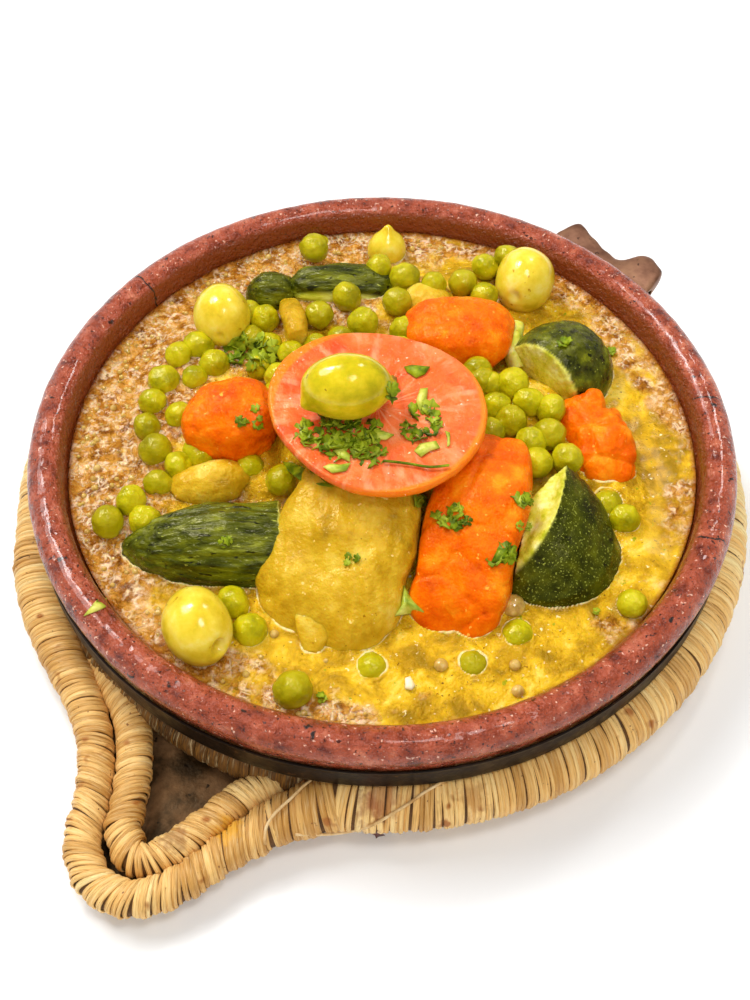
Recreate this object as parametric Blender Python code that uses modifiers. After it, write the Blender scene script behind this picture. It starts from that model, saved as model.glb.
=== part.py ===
"""A small clay tagine dish of vegetable stew, on a woven palm trivet with a looped handle.

The origin is on the dish's axis at the floor, with +Z up. The near side is -Y, and the trivet's
handle points to -X, -Y. Driving dimensions are in millimetres, and MM turns them into metres.
"""
import math
import random

import bmesh
import bpy
from mathutils import Matrix, Vector
from mathutils.bvhtree import BVHTree

MM = 0.001
GAP = 0.3
TURNED_STEPS = 44

# Leather panel that backs the trivet and fills its handle
LEATHER_THICK = 2.2
LEATHER_RADIUS = 110.0

# Woven trivet: an inner ring, a fat coil outside it that swings out as the handle, and a slim
# coil inside the handle's loop. Coil points are x, y and the coil's radius there.
TRIVET_FLOOR = LEATHER_THICK + GAP
INNER_RING_RADIUS = 102.5
INNER_RING_HALF_WIDTH = 6.7
INNER_RING_HALF_HEIGHT = 7.8
RIM_COIL_PATH_RADIUS = 109.4
RIM_COIL_RADIUS = 9.2
RIM_COIL_FROM, RIM_COIL_TO = -96.0, 188.0
HANDLE_COIL = ((-107.0, -33.0, 8.9), (-103.0, -48.0, 8.0), (-96.0, -63.0, 6.9), (-87.0, -79.0, 6.0),
               (-82.0, -93.0, 5.6), (-81.0, -108.0, 5.6), (-82.0, -121.0, 5.6), (-77.0, -132.0, 5.6),
               (-66.5, -136.5, 5.6), (-54.0, -132.5, 5.6), (-41.0, -122.5, 5.8), (-28.0, -114.5, 7.2))
LOOP_COIL = ((-88.0, -54.0, 5.6), (-80.0, -70.0, 5.6), (-73.0, -83.0, 5.6), (-70.5, -96.0, 5.5),
             (-70.5, -109.0, 5.5), (-71.0, -118.0, 5.5), (-66.0, -125.5, 5.5), (-58.5, -124.0, 5.5),
             (-49.0, -116.5, 5.5), (-38.0, -107.0, 5.5), (-27.0, -101.0, 5.5))

# Clay dish: a rolled rim on a shallow bowl
RIM_TUBE_CENTRE_RADIUS = 104.3
RIM_TUBE_HEIGHT = 36.5
RIM_TUBE_RADIUS = 5.7
DISH_INSIDE = ((0.0, 8.5), (70.0, 9.5), (86.0, 14.0), (94.0, 24.0), (98.4, 32.5))
DISH_OUTSIDE = ((108.4, 30.5), (108.4, 22.4), (103.0, 21.9), (97.0, 19.6), (92.0, 14.0), (86.0, 6.5),
                (78.0, 2.5), (0.0, 2.5))

# Sheet-metal hoop round the dish, and the folded tab where its ends meet
HOOP_INSIDE_RADIUS = 108.7
HOOP_OUTSIDE_RADIUS = 109.5
HOOP_BOTTOM, HOOP_TOP = 21.3, 30.3
TAB_ANGLE = 47.8
TAB_INNER_RADIUS = 109.9
TAB_HEIGHT = 29.0
TAB_WALL = 0.8
TAB_SECTIONS = ((-20.5, 117.5, 2.2), (-18.5, 126.0, 2.9), (-14.0, 128.8, 3.2), (-8.5, 129.3, 3.0),
                (-4.5, 122.5, 2.2), (1.0, 121.8, 1.7), (9.0, 124.0, 2.0), (15.5, 126.2, 2.6),
                (19.0, 126.6, 2.6), (21.0, 119.0, 2.0))

# Sauce and what stands on it
SAUCE_LEVEL = 32.5
FOOD_FLOOR = SAUCE_LEVEL + GAP

# Tomato slice, nearly level on top of the heap. Lobes are harmonic, cosine and sine terms.
TOMATO_CENTRE = (-1.5, -8.8)
TOMATO_RADIUS = 32.2
TOMATO_LOBES = ((2, 0.5, -1.7), (3, 0.1, 0.9))
TOMATO_BOTTOM, TOMATO_TOP = 56.0, 60.5
TOMATO_SIDES = 32

# Bars of vegetable: x, y, z, half width and half height at each section
BARS = {
    "potato_wedge": ("potato", 2.7, (
        (-5.0, -18.0, 45.0, 12.0, 5.5), (-6.0, -22.0, 45.5, 17.0, 8.5), (-8.0, -34.0, 42.8, 19.5, 10.0),
        (-11.0, -47.0, 38.0, 22.0, 10.0), (-13.0, -59.0, 33.0, 23.0, 9.5), (-14.0, -67.0, 30.0, 20.0, 8.0),
        (-15.0, -73.0, 28.0, 12.0, 5.0))),
    "carrot_front": ("carrot", 3.2, (
        (33.5, -11.0, 44.0, 8.0, 6.5), (32.5, -15.0, 45.0, 12.5, 9.5), (29.5, -27.0, 43.5, 14.5, 11.0),
        (26.0, -41.0, 39.0, 14.5, 11.0), (23.0, -54.0, 34.5, 14.0, 10.5), (21.0, -63.0, 31.5, 13.0, 9.0),
        (20.0, -70.0, 29.0, 8.0, 5.5))),
    "carrot_left": ("carrot", 3.0, (
        (-62.5, 1.0, 35.0, 6.0, 6.0), (-58.5, 2.0, 37.0, 11.0, 10.0), (-48.0, 4.0, 38.5, 13.0, 10.5),
        (-39.0, 5.0, 40.0, 12.0, 9.5), (-35.0, 6.0, 40.5, 8.0, 6.0))),
    "carrot_back": ("carrot", 2.8, (
        (10.0, 40.0, 37.0, 7.0, 6.0), (14.5, 41.0, 38.0, 12.0, 10.0), (26.0, 40.0, 39.0, 14.0, 11.5),
        (37.0, 38.0, 38.0, 13.5, 11.0), (43.0, 36.0, 36.0, 8.0, 7.0))),
    "carrot_right": ("carrot", 3.2, (
        (62.0, 16.5, 34.0, 6.0, 5.0), (64.0, 13.0, 35.0, 10.0, 8.5), (68.0, 4.0, 35.0, 11.0, 9.5),
        (72.0, -5.0, 34.0, 10.5, 9.0), (75.0, -11.5, 32.0, 6.0, 5.5))),
    "zucchini_left": ("zucchini", 2.0, (
        (-79.0, -39.5, 31.0, 2.0, 2.5), (-75.5, -39.5, 31.5, 6.0, 7.0), (-67.0, -39.5, 31.5, 10.5, 11.5),
        (-55.0, -39.5, 31.5, 13.5, 14.5), (-42.0, -39.0, 31.5, 14.0, 15.0), (-31.5, -38.5, 31.5, 14.0, 15.0))),
    "zucchini_back_mid": ("zucchini", 2.0, (
        (-30.5, 66.0, 34.0, 3.5, 4.0), (-27.0, 66.0, 35.0, 7.0, 8.0), (-14.0, 67.0, 35.5, 8.0, 9.0),
        (-2.0, 67.0, 34.5, 7.0, 7.5), (4.5, 67.0, 33.5, 3.0, 4.0))),
    "potato_strip": ("potato", 3.0, (
        (-32.0, 58.0, 35.0, 3.6, 4.0), (-31.0, 52.0, 38.0, 4.0, 4.4), (-29.0, 43.0, 40.0, 4.0, 4.4),
        (-28.0, 38.0, 41.0, 3.0, 3.5))),
    "potato_crumb": ("potato", 2.4, (
        (9.0, 61.0, 35.0, 3.0, 3.5), (12.0, 60.0, 37.0, 7.0, 5.5), (18.0, 57.0, 37.0, 7.0, 5.5),
        (21.5, 55.0, 36.0, 3.5, 3.5))),
}

# Round pieces: material, centre, half sizes, and turn about Z in degrees
ROUNDS = {
    "potato_chunk": ("potato", (-52.0, -16.5, 33.5), (14.0, 8.0, 8.0), 14.0),
    "zucchini_back_left": ("zucchini", (-38.0, 65.0, 34.0), (9.5, 8.0, 9.0), 0.0),
    "olive_back_left": ("olive", (-54.0, 50.0, 39.0), (9.4, 11.5, 10.2), 12.0),
    "olive_back": ("olive", (1.0, 87.5, 34.5), (6.8, 6.8, 7.0), 0.0),
    "olive_back_right": ("olive", (48.0, 67.0, 40.0), (10.0, 11.5, 11.0), -15.0),
    "olive_front_left": ("olive", (-51.5, -69.0, 38.0), (9.8, 12.0, 10.3), 24.0),
    "pea_front": ("pea", (-24.0, -87.0, 35.0), (5.7, 5.5, 5.4), 0.0),
    "pea_left_front": ("pea", (-36.5, -69.5, 34.0), (4.9, 4.7, 4.7), 0.0),
    "pea_right": ("pea", (72.5, -58.0, 33.6), (5.2, 3.9, 3.6), 8.0),
    "pea_back": ("pea", (-25.0, 88.0, 34.0), (4.6, 4.6, 4.4), 0.0),
}
ROUND_SEGMENTS, ROUND_RINGS = 12, 8

# Zucchini chunk at the back right: a dome cut off by an upright face towards the near side
DOME_CENTRE = (60.0, 33.0, 31.0)
DOME_HALF_SIZES = (18.0, 15.0, 15.5)
DOME_TURN = -45.0
DOME_FACE_NORMAL = (-0.70, -0.69, 0.18)
DOME_FACE_INSET = 7.0

# Zucchini chunk at the front right: a leaning pale face, and skin that swells down to the sauce
CHUNK_LOW, CHUNK_MID, CHUNK_APEX = (34.5, -49.5, 34.0), (47.5, -42.0, 48.0), (54.5, -20.0, 50.5)
CHUNK_BACK_BULGE = (-3.0, 2.0, 1.5)
CHUNK_BASE_CENTRE = (54.0, -41.5, 30.5)
CHUNK_BASE_HALF = (19.5, 18.5)
CHUNK_BASE_START, CHUNK_BASE_FACE_END = 205.0, 395.0
CHUNK_SWELL = 3.2
CHUNK_SIDES = 20

# Olive on the tomato
TOMATO_OLIVE_CENTRE = (-10.5, -6.0)
TOMATO_OLIVE_HALF = (13.2, 9.8, 9.6)
TOMATO_OLIVE_TURN = 4.0

# Pea heap: swellings of its bare core, each a centre and half sizes, and rows of peas on it,
# each from x, y to x, y with a count
CORE_SWELLINGS = (
    ((-2.0, 0.0, 30.0), (33.0, 30.0, 25.6)), ((-56.0, 14.0, 31.0), (26.0, 46.0, 5.6)),
    ((-70.0, -24.0, 31.0), (13.0, 13.0, 4.6)), ((5.0, 60.0, 31.0), (49.0, 21.0, 6.4)),
    ((36.0, 70.0, 31.0), (18.0, 14.0, 5.2)), ((42.0, 4.0, 31.0), (22.0, 26.0, 10.0)),
    ((64.0, -18.0, 31.0), (18.0, 13.0, 5.0)), ((-37.0, -10.0, 31.0), (15.0, 12.0, 6.0)),
    ((-18.0, 36.0, 31.0), (28.0, 19.0, 6.0)))
CORE_SEGMENTS, CORE_RINGS = 14, 8
PEA_SEGMENTS, PEA_RINGS = 8, 5
PEA_RADIUS = 5.2
PEA_SPREAD = 0.35
PEA_LIFT = 1.8
PEA_ROWS = ((-61.0, 39.0, -76.0, 13.0, 3), (-74.0, 4.0, -73.0, -6.0, 2), (-53.0, 32.0, -66.0, 6.0, 3),
            (-58.0, -7.0, -72.0, -32.0, 3), (-62.0, -15.0, -79.0, -24.0, 2), (-45.0, 53.0, -37.0, 38.0, 2),
            (-40.0, 29.0, -45.0, 42.0, 2), (-41.0, -12.5, -30.0, -17.0, 2), (-21.0, 50.0, 6.0, 42.0, 3),
            (-12.0, 58.0, 6.0, 55.0, 2), (-2.0, 76.0, 16.0, 67.0, 2), (26.0, 65.0, 44.0, 80.0, 3),
            (33.0, 58.0, 38.0, 68.0, 2), (31.0, 21.0, 53.0, 8.0, 3), (35.0, 8.0, 56.0, -12.0, 3),
            (40.0, 1.0, 46.0, -13.0, 2), (68.0, -21.0, 74.0, -28.0, 2))
PEA_REACH = 5.5
PEA_HOLD = 0.9
PEA_SLACK = 0.05
PEA_TRIES = 20
DISH_CLEAR_RADIUS = 97.6

# Parsley fused to what it lies on: node, centre, half spread, count and leaf length
PARSLEY = (("tomato_slice", (-12.0, -26.5), (15.0, 7.0), 9, 5.6),
           ("tomato_slice", (13.5, -14.0), (7.5, 10.0), 6, 5.6),
           ("tomato_slice", (11.0, 8.0), (1.0, 1.0), 1, 7.0),
           ("carrot_front", (21.0, -37.0), (5.0, 2.0), 3, 5.0),
           ("carrot_left", (-46.0, 6.0), (3.0, 3.0), 2, 5.0),
           ("zucchini_left", (-47.0, -37.0), (1.0, 1.0), 1, 4.5))
LEAF_THICK = 0.7
LEAF_WAVE = 0.6


def linear(hex_colour):
    """Linear RGBA of an sRGB hex colour."""
    channels = [int(hex_colour[i:i + 2], 16) / 255 for i in (1, 3, 5)]
    return [c / 12.92 if c <= 0.04045 else ((c + 0.055) / 1.055) ** 2.4 for c in channels] + [1.0]


def make_materials():
    """One Principled material for each finish."""
    looks = {"clay": ("#8a3b2c", 0.35, 0.0), "leather": ("#4a3a30", 0.7, 0.0), "palm": ("#d3a35c", 0.65, 0.0),
             "sheet_metal": ("#6f5a4a", 0.45, 0.9), "sauce": ("#c98f2c", 0.3, 0.0),
             "tomato": ("#e8705c", 0.35, 0.0), "potato": ("#d9b02c", 0.45, 0.0),
             "carrot": ("#f0701c", 0.4, 0.0), "zucchini": ("#3f5214", 0.4, 0.0),
             "olive": ("#d8bc28", 0.25, 0.0), "pea": ("#96a11e", 0.3, 0.0)}
    finishes = {}
    for name, (colour, roughness, metallic) in looks.items():
        finish = bpy.data.materials.new(name)
        finish.use_nodes = True
        shader = finish.node_tree.nodes["Principled BSDF"]
        shader.inputs["Base Color"].default_value = linear(colour)
        shader.inputs["Roughness"].default_value = roughness
        shader.inputs["Metallic"].default_value = metallic
        finishes[name] = finish
    return finishes


def metres(*values):
    """A vector in metres from millimetres."""
    return Vector(values) * MM


def add_object(name, mesh, finish=None, collection=None):
    """Links a mesh to a collection under its node's name, shaded smooth with sharp edges."""
    obj = bpy.data.objects.new(name, mesh)
    (collection or parts).objects.link(obj)
    if finish:
        mesh.materials.clear()
        mesh.materials.append(finish)
    mesh.shade_smooth()
    mesh.set_sharp_from_angle(angle=math.radians(40))
    return obj


def mesh_from_bmesh(name, shape):
    """A mesh with its faces pointing out, from a bmesh that is then freed."""
    bmesh.ops.recalc_face_normals(shape, faces=shape.faces)
    mesh = bpy.data.meshes.new(name)
    shape.to_mesh(mesh)
    shape.free()
    return mesh


def baked(obj, name, finish, weld=False):
    """A mesh object with obj's evaluated shape in place of obj, which is removed."""
    bpy.context.view_layer.update()
    seen = obj.evaluated_get(bpy.context.evaluated_depsgraph_get())
    mesh = bpy.data.meshes.new_from_object(seen)
    place = obj.matrix_world.copy()
    bpy.data.objects.remove(obj)
    if weld:
        shape = bmesh.new()
        shape.from_mesh(mesh)
        bmesh.ops.remove_doubles(shape, verts=shape.verts, dist=0.01 * MM)
        mesh = mesh_from_bmesh(name, shape)
    result = add_object(name, mesh, finish)
    result.matrix_world = place
    return result


def combined(obj, others, operation, finish):
    """Unites others with obj, or cuts them away, in one Boolean, and removes them."""
    operands = bpy.data.collections.new("operands")
    bpy.context.scene.collection.children.link(operands)
    for other in others:
        for owner in other.users_collection:
            owner.objects.unlink(other)
        operands.objects.link(other)
    modifier = obj.modifiers.new("joined", "BOOLEAN")
    modifier.operation = operation
    modifier.operand_type = "COLLECTION"
    modifier.collection = operands
    modifier.solver = "EXACT"
    name = obj.name
    obj.name = name + "_before"
    result = baked(obj, name, finish)
    for other in list(operands.objects):
        bpy.data.objects.remove(other)
    bpy.data.collections.remove(operands)
    return result


def grown(obj, by=GAP):
    """A copy of obj whose surface stands out by a gap, to cut its neighbour with."""
    shape = bmesh.new()
    shape.from_mesh(obj.data)
    shape.normal_update()
    for vert in shape.verts:
        vert.co += vert.normal * by * vert.calc_shell_factor() * MM
    mesh = bpy.data.meshes.new(obj.name + "_grown")
    shape.to_mesh(mesh)
    shape.free()
    return add_object(obj.name + "_grown", mesh, collection=cutters)


def turned(name, profile, finish, closed=False):
    """A profile of radius and height, turned about Z. It runs down its outer side."""
    edges = [(i, i + 1) for i in range(len(profile) - 1)]
    if closed:
        edges.append((len(profile) - 1, 0))
    mesh = bpy.data.meshes.new(name)
    mesh.from_pydata([metres(r, 0, z) for r, z in profile], edges, [])
    obj = add_object(name, mesh, finish)
    screw = obj.modifiers.new("turned", "SCREW")
    screw.steps = screw.render_steps = TURNED_STEPS
    screw.use_merge_vertices = True
    screw.merge_threshold = 0.01 * MM
    screw.use_smooth_shade = True
    return obj


def lofted(name, rings, finish, collection=None, capped=True):
    """A body through rings of points, closed by a flat cap at each end."""
    shape = bmesh.new()
    loops = [[shape.verts.new(point) for point in ring] for ring in rings]
    for low, high in zip(loops, loops[1:]):
        for i in range(len(low)):
            j = (i + 1) % len(low)
            shape.faces.new((low[i], low[j], high[j], high[i]))
    if capped:
        shape.faces.new(loops[0])
        shape.faces.new(loops[-1])
    return add_object(name, mesh_from_bmesh(name, shape), finish, collection)


def ellipsoid(name, centre, half_sizes, turn, finish=None, segments=ROUND_SEGMENTS, rings=ROUND_RINGS,
              collection=None):
    """A ball with its own half sizes along X, Y and Z, turned about Z."""
    shape = bmesh.new()
    bmesh.ops.create_uvsphere(shape, u_segments=segments, v_segments=rings, radius=1.0)
    place = (Matrix.Translation(metres(*centre)) @ Matrix.Rotation(math.radians(turn), 4, "Z")
             @ Matrix.Diagonal(metres(*half_sizes)).to_4x4())
    bmesh.ops.transform(shape, matrix=place, verts=shape.verts)
    return add_object(name, mesh_from_bmesh(name, shape), finish, collection)


def block(name, low, high):
    """A box between two corners, used to cut with."""
    shape = bmesh.new()
    bmesh.ops.create_cube(shape, size=1.0)
    low, high = metres(*low), metres(*high)
    bmesh.ops.scale(shape, vec=high - low, verts=shape.verts)
    bmesh.ops.translate(shape, vec=(low + high) / 2, verts=shape.verts)
    return add_object(name, mesh_from_bmesh(name, shape), collection=cutters)


def under_sauce():
    """A block of all that lies below the food's floor."""
    return block("under_sauce", (-130, -130, -60), (130, 130, FOOD_FLOOR))


def through(points, per_span):
    """Points on a smooth curve through the given ones, by Catmull-Rom spans."""
    known = [Vector(p) for p in points]
    padded = [2 * known[0] - known[1]] + known + [2 * known[-1] - known[-2]]
    curve = []
    for a, b, c, d in zip(padded, padded[1:], padded[2:], padded[3:]):
        for i in range(per_span):
            t = i / per_span
            curve.append(0.5 * (2 * b + (c - a) * t + (2 * a - 5 * b + 4 * c - d) * t * t
                                + (3 * b - a - 3 * c + d) * t ** 3))
    return curve + [known[-1]]


def coil_points(points, per_span):
    """The centre and the radius along a coil that lies on the trivet's floor."""
    return [(Vector((x, y, TRIVET_FLOOR + r)), r) for x, y, r in through(points, per_span)]


def coil(name, points, cyclic, finish):
    """A tube through points, each with its own radius, as a welded mesh."""
    curve = bpy.data.curves.new(name, "CURVE")
    curve.dimensions = "3D"
    curve.bevel_depth = MM
    curve.bevel_resolution = 2
    curve.use_fill_caps = not cyclic
    spline = curve.splines.new("POLY")
    spline.points.add(len(points) - 1)
    spline.use_cyclic_u = cyclic
    for target, (centre, radius) in zip(spline.points, points):
        target.co = (*(centre * MM), 1.0)
        target.radius = radius
    obj = bpy.data.objects.new(name + "_curve", curve)
    parts.objects.link(obj)
    return baked(obj, name, finish, weld=True)


def leather_base(finish):
    """The flat panel under the ring, with a lobe that fills the handle."""
    outline = [(LEATHER_RADIUS * math.cos(math.radians(a)), LEATHER_RADIUS * math.sin(math.radians(a)))
               for a in range(-96, 193, 6)]
    outline += [(p.x, p.y) for p, _ in coil_points(HANDLE_COIL, 2)]
    curve = bpy.data.curves.new("leather_base", "CURVE")
    curve.dimensions = "2D"
    curve.fill_mode = "BOTH"
    curve.extrude = LEATHER_THICK / 2 * MM
    spline = curve.splines.new("POLY")
    spline.points.add(len(outline) - 1)
    spline.use_cyclic_u = True
    for target, (x, y) in zip(spline.points, outline):
        target.co = (x * MM, y * MM, 0.0, 1.0)
    obj = bpy.data.objects.new("leather_curve", curve)
    parts.objects.link(obj)
    obj.location.z = LEATHER_THICK / 2 * MM
    return baked(obj, "leather_base", finish, weld=True)


def trivet(finish):
    """The inner ring, the coil that becomes the handle, and the loop's inner coil, as one piece."""
    sides = 8
    height = TRIVET_FLOOR + INNER_RING_HALF_HEIGHT
    profile = [(INNER_RING_RADIUS + INNER_RING_HALF_WIDTH * math.sin(math.tau * i / sides),
                height + INNER_RING_HALF_HEIGHT * math.cos(math.tau * i / sides)) for i in range(sides)]
    ring = baked(turned("inner_ring", profile, finish, closed=True), "trivet", finish, weld=True)
    rim_coil = []
    spans = 44
    for i in range(spans + 1):
        angle = math.radians(RIM_COIL_FROM + (RIM_COIL_TO - RIM_COIL_FROM) * i / spans)
        centre = Vector((RIM_COIL_PATH_RADIUS * math.cos(angle), RIM_COIL_PATH_RADIUS * math.sin(angle),
                         TRIVET_FLOOR + RIM_COIL_RADIUS))
        rim_coil.append((centre, RIM_COIL_RADIUS))
    outer = coil("outer_coil", rim_coil + coil_points(HANDLE_COIL, 2), True, finish)
    inner = coil("loop_coil", coil_points(LOOP_COIL, 2), False, finish)
    return combined(ring, [outer, inner], "UNION", finish)


def dish(finish):
    """The shallow clay bowl with its rolled rim."""
    rim = []
    for degrees in range(180, -46, -32):
        angle = math.radians(degrees)
        rim.append((RIM_TUBE_CENTRE_RADIUS + RIM_TUBE_RADIUS * math.cos(angle),
                    RIM_TUBE_HEIGHT + RIM_TUBE_RADIUS * math.sin(angle)))
    return turned("dish", list(DISH_INSIDE) + rim + list(DISH_OUTSIDE), finish)


def metal_hoop(finish):
    """The strap round the dish under its rim."""
    profile = [(HOOP_INSIDE_RADIUS, HOOP_TOP), (HOOP_OUTSIDE_RADIUS, HOOP_TOP),
               (HOOP_OUTSIDE_RADIUS, HOOP_BOTTOM), (HOOP_INSIDE_RADIUS, HOOP_BOTTOM)]
    return turned("metal_hoop", profile, finish, closed=True)


def hoop_tab(finish):
    """The folded sheet-metal tab: a flat open tube, pinched at its middle and flared at its ends."""
    sides = 10
    outward = Vector((math.cos(math.radians(TAB_ANGLE)), math.sin(math.radians(TAB_ANGLE)), 0))
    along = Vector((-outward.y, outward.x, 0))
    rings = []
    for offset, reach, half_height in TAB_SECTIONS:
        inner = math.sqrt(TAB_INNER_RADIUS ** 2 + offset ** 2) + TAB_WALL
        middle, half_width = (inner + reach) / 2, (reach - inner) / 2
        ring = []
        for i in range(sides):
            angle = math.tau * i / sides
            point = (outward * (middle + half_width * math.cos(angle)) + along * offset
                     + Vector((0, 0, TAB_HEIGHT + half_height * math.sin(angle))))
            ring.append(point * MM)
        rings.append(ring)
    obj = lofted("hoop_tab", rings, finish, capped=False)
    solid = obj.modifiers.new("sheet", "SOLIDIFY")
    solid.thickness = TAB_WALL * MM
    solid.offset = -1.0
    return obj


def sauce(finish):
    """The sauce, up to its level, a gap inside the dish."""
    inside = [(max(r - GAP, 0.0), z + GAP) for r, z in DISH_INSIDE]
    top = [(0.0, SAUCE_LEVEL), (inside[-1][0], SAUCE_LEVEL)]
    return turned("sauce", top + inside[-2::-1], finish)


def bar(name, power, sections, finish, sides=14):
    """A length of vegetable with a section between a circle and a square at each station."""
    centres = [Vector(s[:3]) for s in sections]
    rings = []
    for i, (_, _, _, half_width, half_height) in enumerate(sections):
        heading = centres[min(i + 1, len(centres) - 1)] - centres[max(i - 1, 0)]
        across = Vector((heading.y, -heading.x, 0)).normalized()
        up = across.cross(heading).normalized()
        ring = []
        for k in range(sides):
            c, s = math.cos(math.tau * k / sides), math.sin(math.tau * k / sides)
            wide = math.copysign(abs(c) ** (2 / power), c) * half_width
            high = math.copysign(abs(s) ** (2 / power), s) * half_height
            ring.append((centres[i] + across * wide + up * high) * MM)
        rings.append(ring)
    return lofted(name, rings, finish)


def on_arc(start, middle, end, t):
    """A point at t, from 0 to 1, on the bend from start through middle to end."""
    start, middle, end = Vector(start), Vector(middle), Vector(end)
    pull = 2 * middle - (start + end) / 2
    return (1 - t) ** 2 * start + 2 * t * (1 - t) * pull + t * t * end


def zucchini_front_right(finish):
    """The big chunk: its pale face leans, and its skin swells out down to the sauce."""
    face_points = 2 * CHUNK_SIDES // 3
    back_middle = (Vector(CHUNK_LOW) + Vector(CHUNK_APEX)) / 2 + Vector(CHUNK_BACK_BULGE)
    face, base = [], []
    for k in range(CHUNK_SIDES):
        if k <= face_points:
            t = k / face_points
            face.append(on_arc(CHUNK_LOW, CHUNK_MID, CHUNK_APEX, t))
            degrees = CHUNK_BASE_START + (CHUNK_BASE_FACE_END - CHUNK_BASE_START) * t
        else:
            t = (k - face_points) / (CHUNK_SIDES - face_points)
            face.append(on_arc(CHUNK_APEX, back_middle, CHUNK_LOW, t))
            degrees = CHUNK_BASE_FACE_END + (CHUNK_BASE_START + 360 - CHUNK_BASE_FACE_END) * t
        angle = math.radians(degrees)
        base.append(Vector((CHUNK_BASE_CENTRE[0] + CHUNK_BASE_HALF[0] * math.cos(angle),
                            CHUNK_BASE_CENTRE[1] + CHUNK_BASE_HALF[1] * math.sin(angle),
                            CHUNK_BASE_CENTRE[2])))
    rings = []
    for t in (0.0, 0.3, 0.65, 1.0):
        middle = sum((a.lerp(b, t) for a, b in zip(face, base)), Vector()) / CHUNK_SIDES
        ring = []
        for a, b in zip(face, base):
            point = a.lerp(b, t)
            ring.append((point + (point - middle).normalized() * CHUNK_SWELL * math.sin(math.pi * t)) * MM)
        rings.append(ring)
    return lofted("zucchini_front_right", rings, finish)


def zucchini_back_right(finish):
    """The dome of zucchini with an upright pale face."""
    dome = ellipsoid("zucchini_back_right", DOME_CENTRE, DOME_HALF_SIZES, DOME_TURN, finish, 18, 10)
    normal = Vector(DOME_FACE_NORMAL).normalized()
    reach = 60.0
    centre = Vector(DOME_CENTRE) + normal * (DOME_FACE_INSET + reach / 2)
    cutter = block("face_cut", (-reach / 2,) * 3, (reach / 2,) * 3)
    turn = Vector((0, 0, 1)).rotation_difference(normal).to_matrix().to_4x4()
    cutter.data.transform(Matrix.Translation(centre * MM) @ turn)
    return combined(dome, [cutter], "DIFFERENCE", finish)


def tomato_outline(angle):
    """The tomato slice's radius in the given direction."""
    return TOMATO_RADIUS + sum(a * math.cos(k * angle) + b * math.sin(k * angle) for k, a, b in TOMATO_LOBES)


def tomato_slice(finish):
    """The level slice, with slightly rounded edges."""
    rings = []
    for z, inset in ((TOMATO_BOTTOM, 1.0), (TOMATO_BOTTOM + 1.0, 0.2), (TOMATO_TOP - 1.0, 0.0),
                     (TOMATO_TOP, 0.8)):
        ring = []
        for i in range(TOMATO_SIDES):
            angle = math.tau * i / TOMATO_SIDES
            r = tomato_outline(angle) - inset
            ring.append(metres(TOMATO_CENTRE[0] + r * math.cos(angle), TOMATO_CENTRE[1] + r * math.sin(angle), z))
        rings.append(ring)
    return lofted("tomato_slice", rings, finish)


def core(name, by, collection, finish=None):
    """The bare core's swellings, each grown by a gap."""
    return [ellipsoid(f"{name}_{i}", centre, [h + by for h in half], 0.0, finish, CORE_SEGMENTS, CORE_RINGS,
                      collection) for i, (centre, half) in enumerate(CORE_SWELLINGS)]


def core_height(x, y):
    """The height of the bare core's surface over a point."""
    best = FOOD_FLOOR
    for (cx, cy, cz), (a, b, c) in CORE_SWELLINGS:
        inside = 1 - ((x - cx) / a) ** 2 - ((y - cy) / b) ** 2
        if inside > 0:
            best = max(best, cz + c * math.sqrt(inside))
    return best


def holds(tree, point):
    """Whether a closed surface holds a point: a ray up from it leaves an odd number of times."""
    heading, hits = Vector((0.01, 0.02, 1.0)).normalized(), 0
    start = point * MM
    while True:
        hit = tree.ray_cast(start, heading)[0]
        if hit is None:
            return hits % 2 == 1
        hits += 1
        start = hit + heading * 0.01 * MM


def settled(centre, radius, trees):
    """The place near centre where a pea clears all the other pieces, or None."""
    place = centre.copy()
    clear = radius + GAP + PEA_SLACK
    for _ in range(PEA_TRIES):
        moved = False
        for tree in trees:
            near, _, _, distance = tree.find_nearest(place * MM)
            away = (place - near / MM).normalized()
            distance /= MM
            if holds(tree, place):
                place -= away * (distance + clear)
                moved = True
            elif distance < radius + GAP:
                place += away * (clear - distance)
                moved = True
        if not moved:
            break
    else:
        return None
    fits = math.hypot(place.x, place.y) + radius < DISH_CLEAR_RADIUS and (place - centre).length < PEA_REACH
    return place if fits else None


def pea_heap(finish, neighbours):
    """The core with the peas that show fused on, clear of every neighbour."""
    draw = random.Random(7)
    trees = [BVHTree.FromObject(obj, bpy.context.evaluated_depsgraph_get()) for obj in neighbours]
    swellings = core("swelling", 0.0, parts, finish)
    heap = swellings.pop(0)
    heap.name = "pea_heap"
    held, peas = [], []
    for x0, y0, x1, y1, count in PEA_ROWS:
        for i in range(count):
            t = i / (count - 1)
            x = x0 + (x1 - x0) * t + draw.uniform(-0.6, 0.6)
            y = y0 + (y1 - y0) * t + draw.uniform(-0.6, 0.6)
            radius = PEA_RADIUS + draw.uniform(-PEA_SPREAD, PEA_SPREAD)
            place = settled(Vector((x, y, core_height(x, y) + PEA_LIFT)), radius, trees)
            if place is None:
                continue
            rests = place.z - core_height(place.x, place.y) < radius - PEA_HOLD
            touches = any((place - p).length < radius + r - PEA_HOLD for p, r in held)
            if rests or touches:
                held.append((place, radius))
                peas.append(pea(f"pea_{len(peas)}", place, radius, finish))
    return combined(heap, swellings + peas, "UNION", finish)


def pea(name, place, radius, finish):
    """One pea of few sides."""
    shape = bmesh.new()
    bmesh.ops.create_uvsphere(shape, u_segments=PEA_SEGMENTS, v_segments=PEA_RINGS, radius=radius * MM)
    bmesh.ops.translate(shape, vec=place * MM, verts=shape.verts)
    return add_object(name, mesh_from_bmesh(name, shape), finish)


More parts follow.
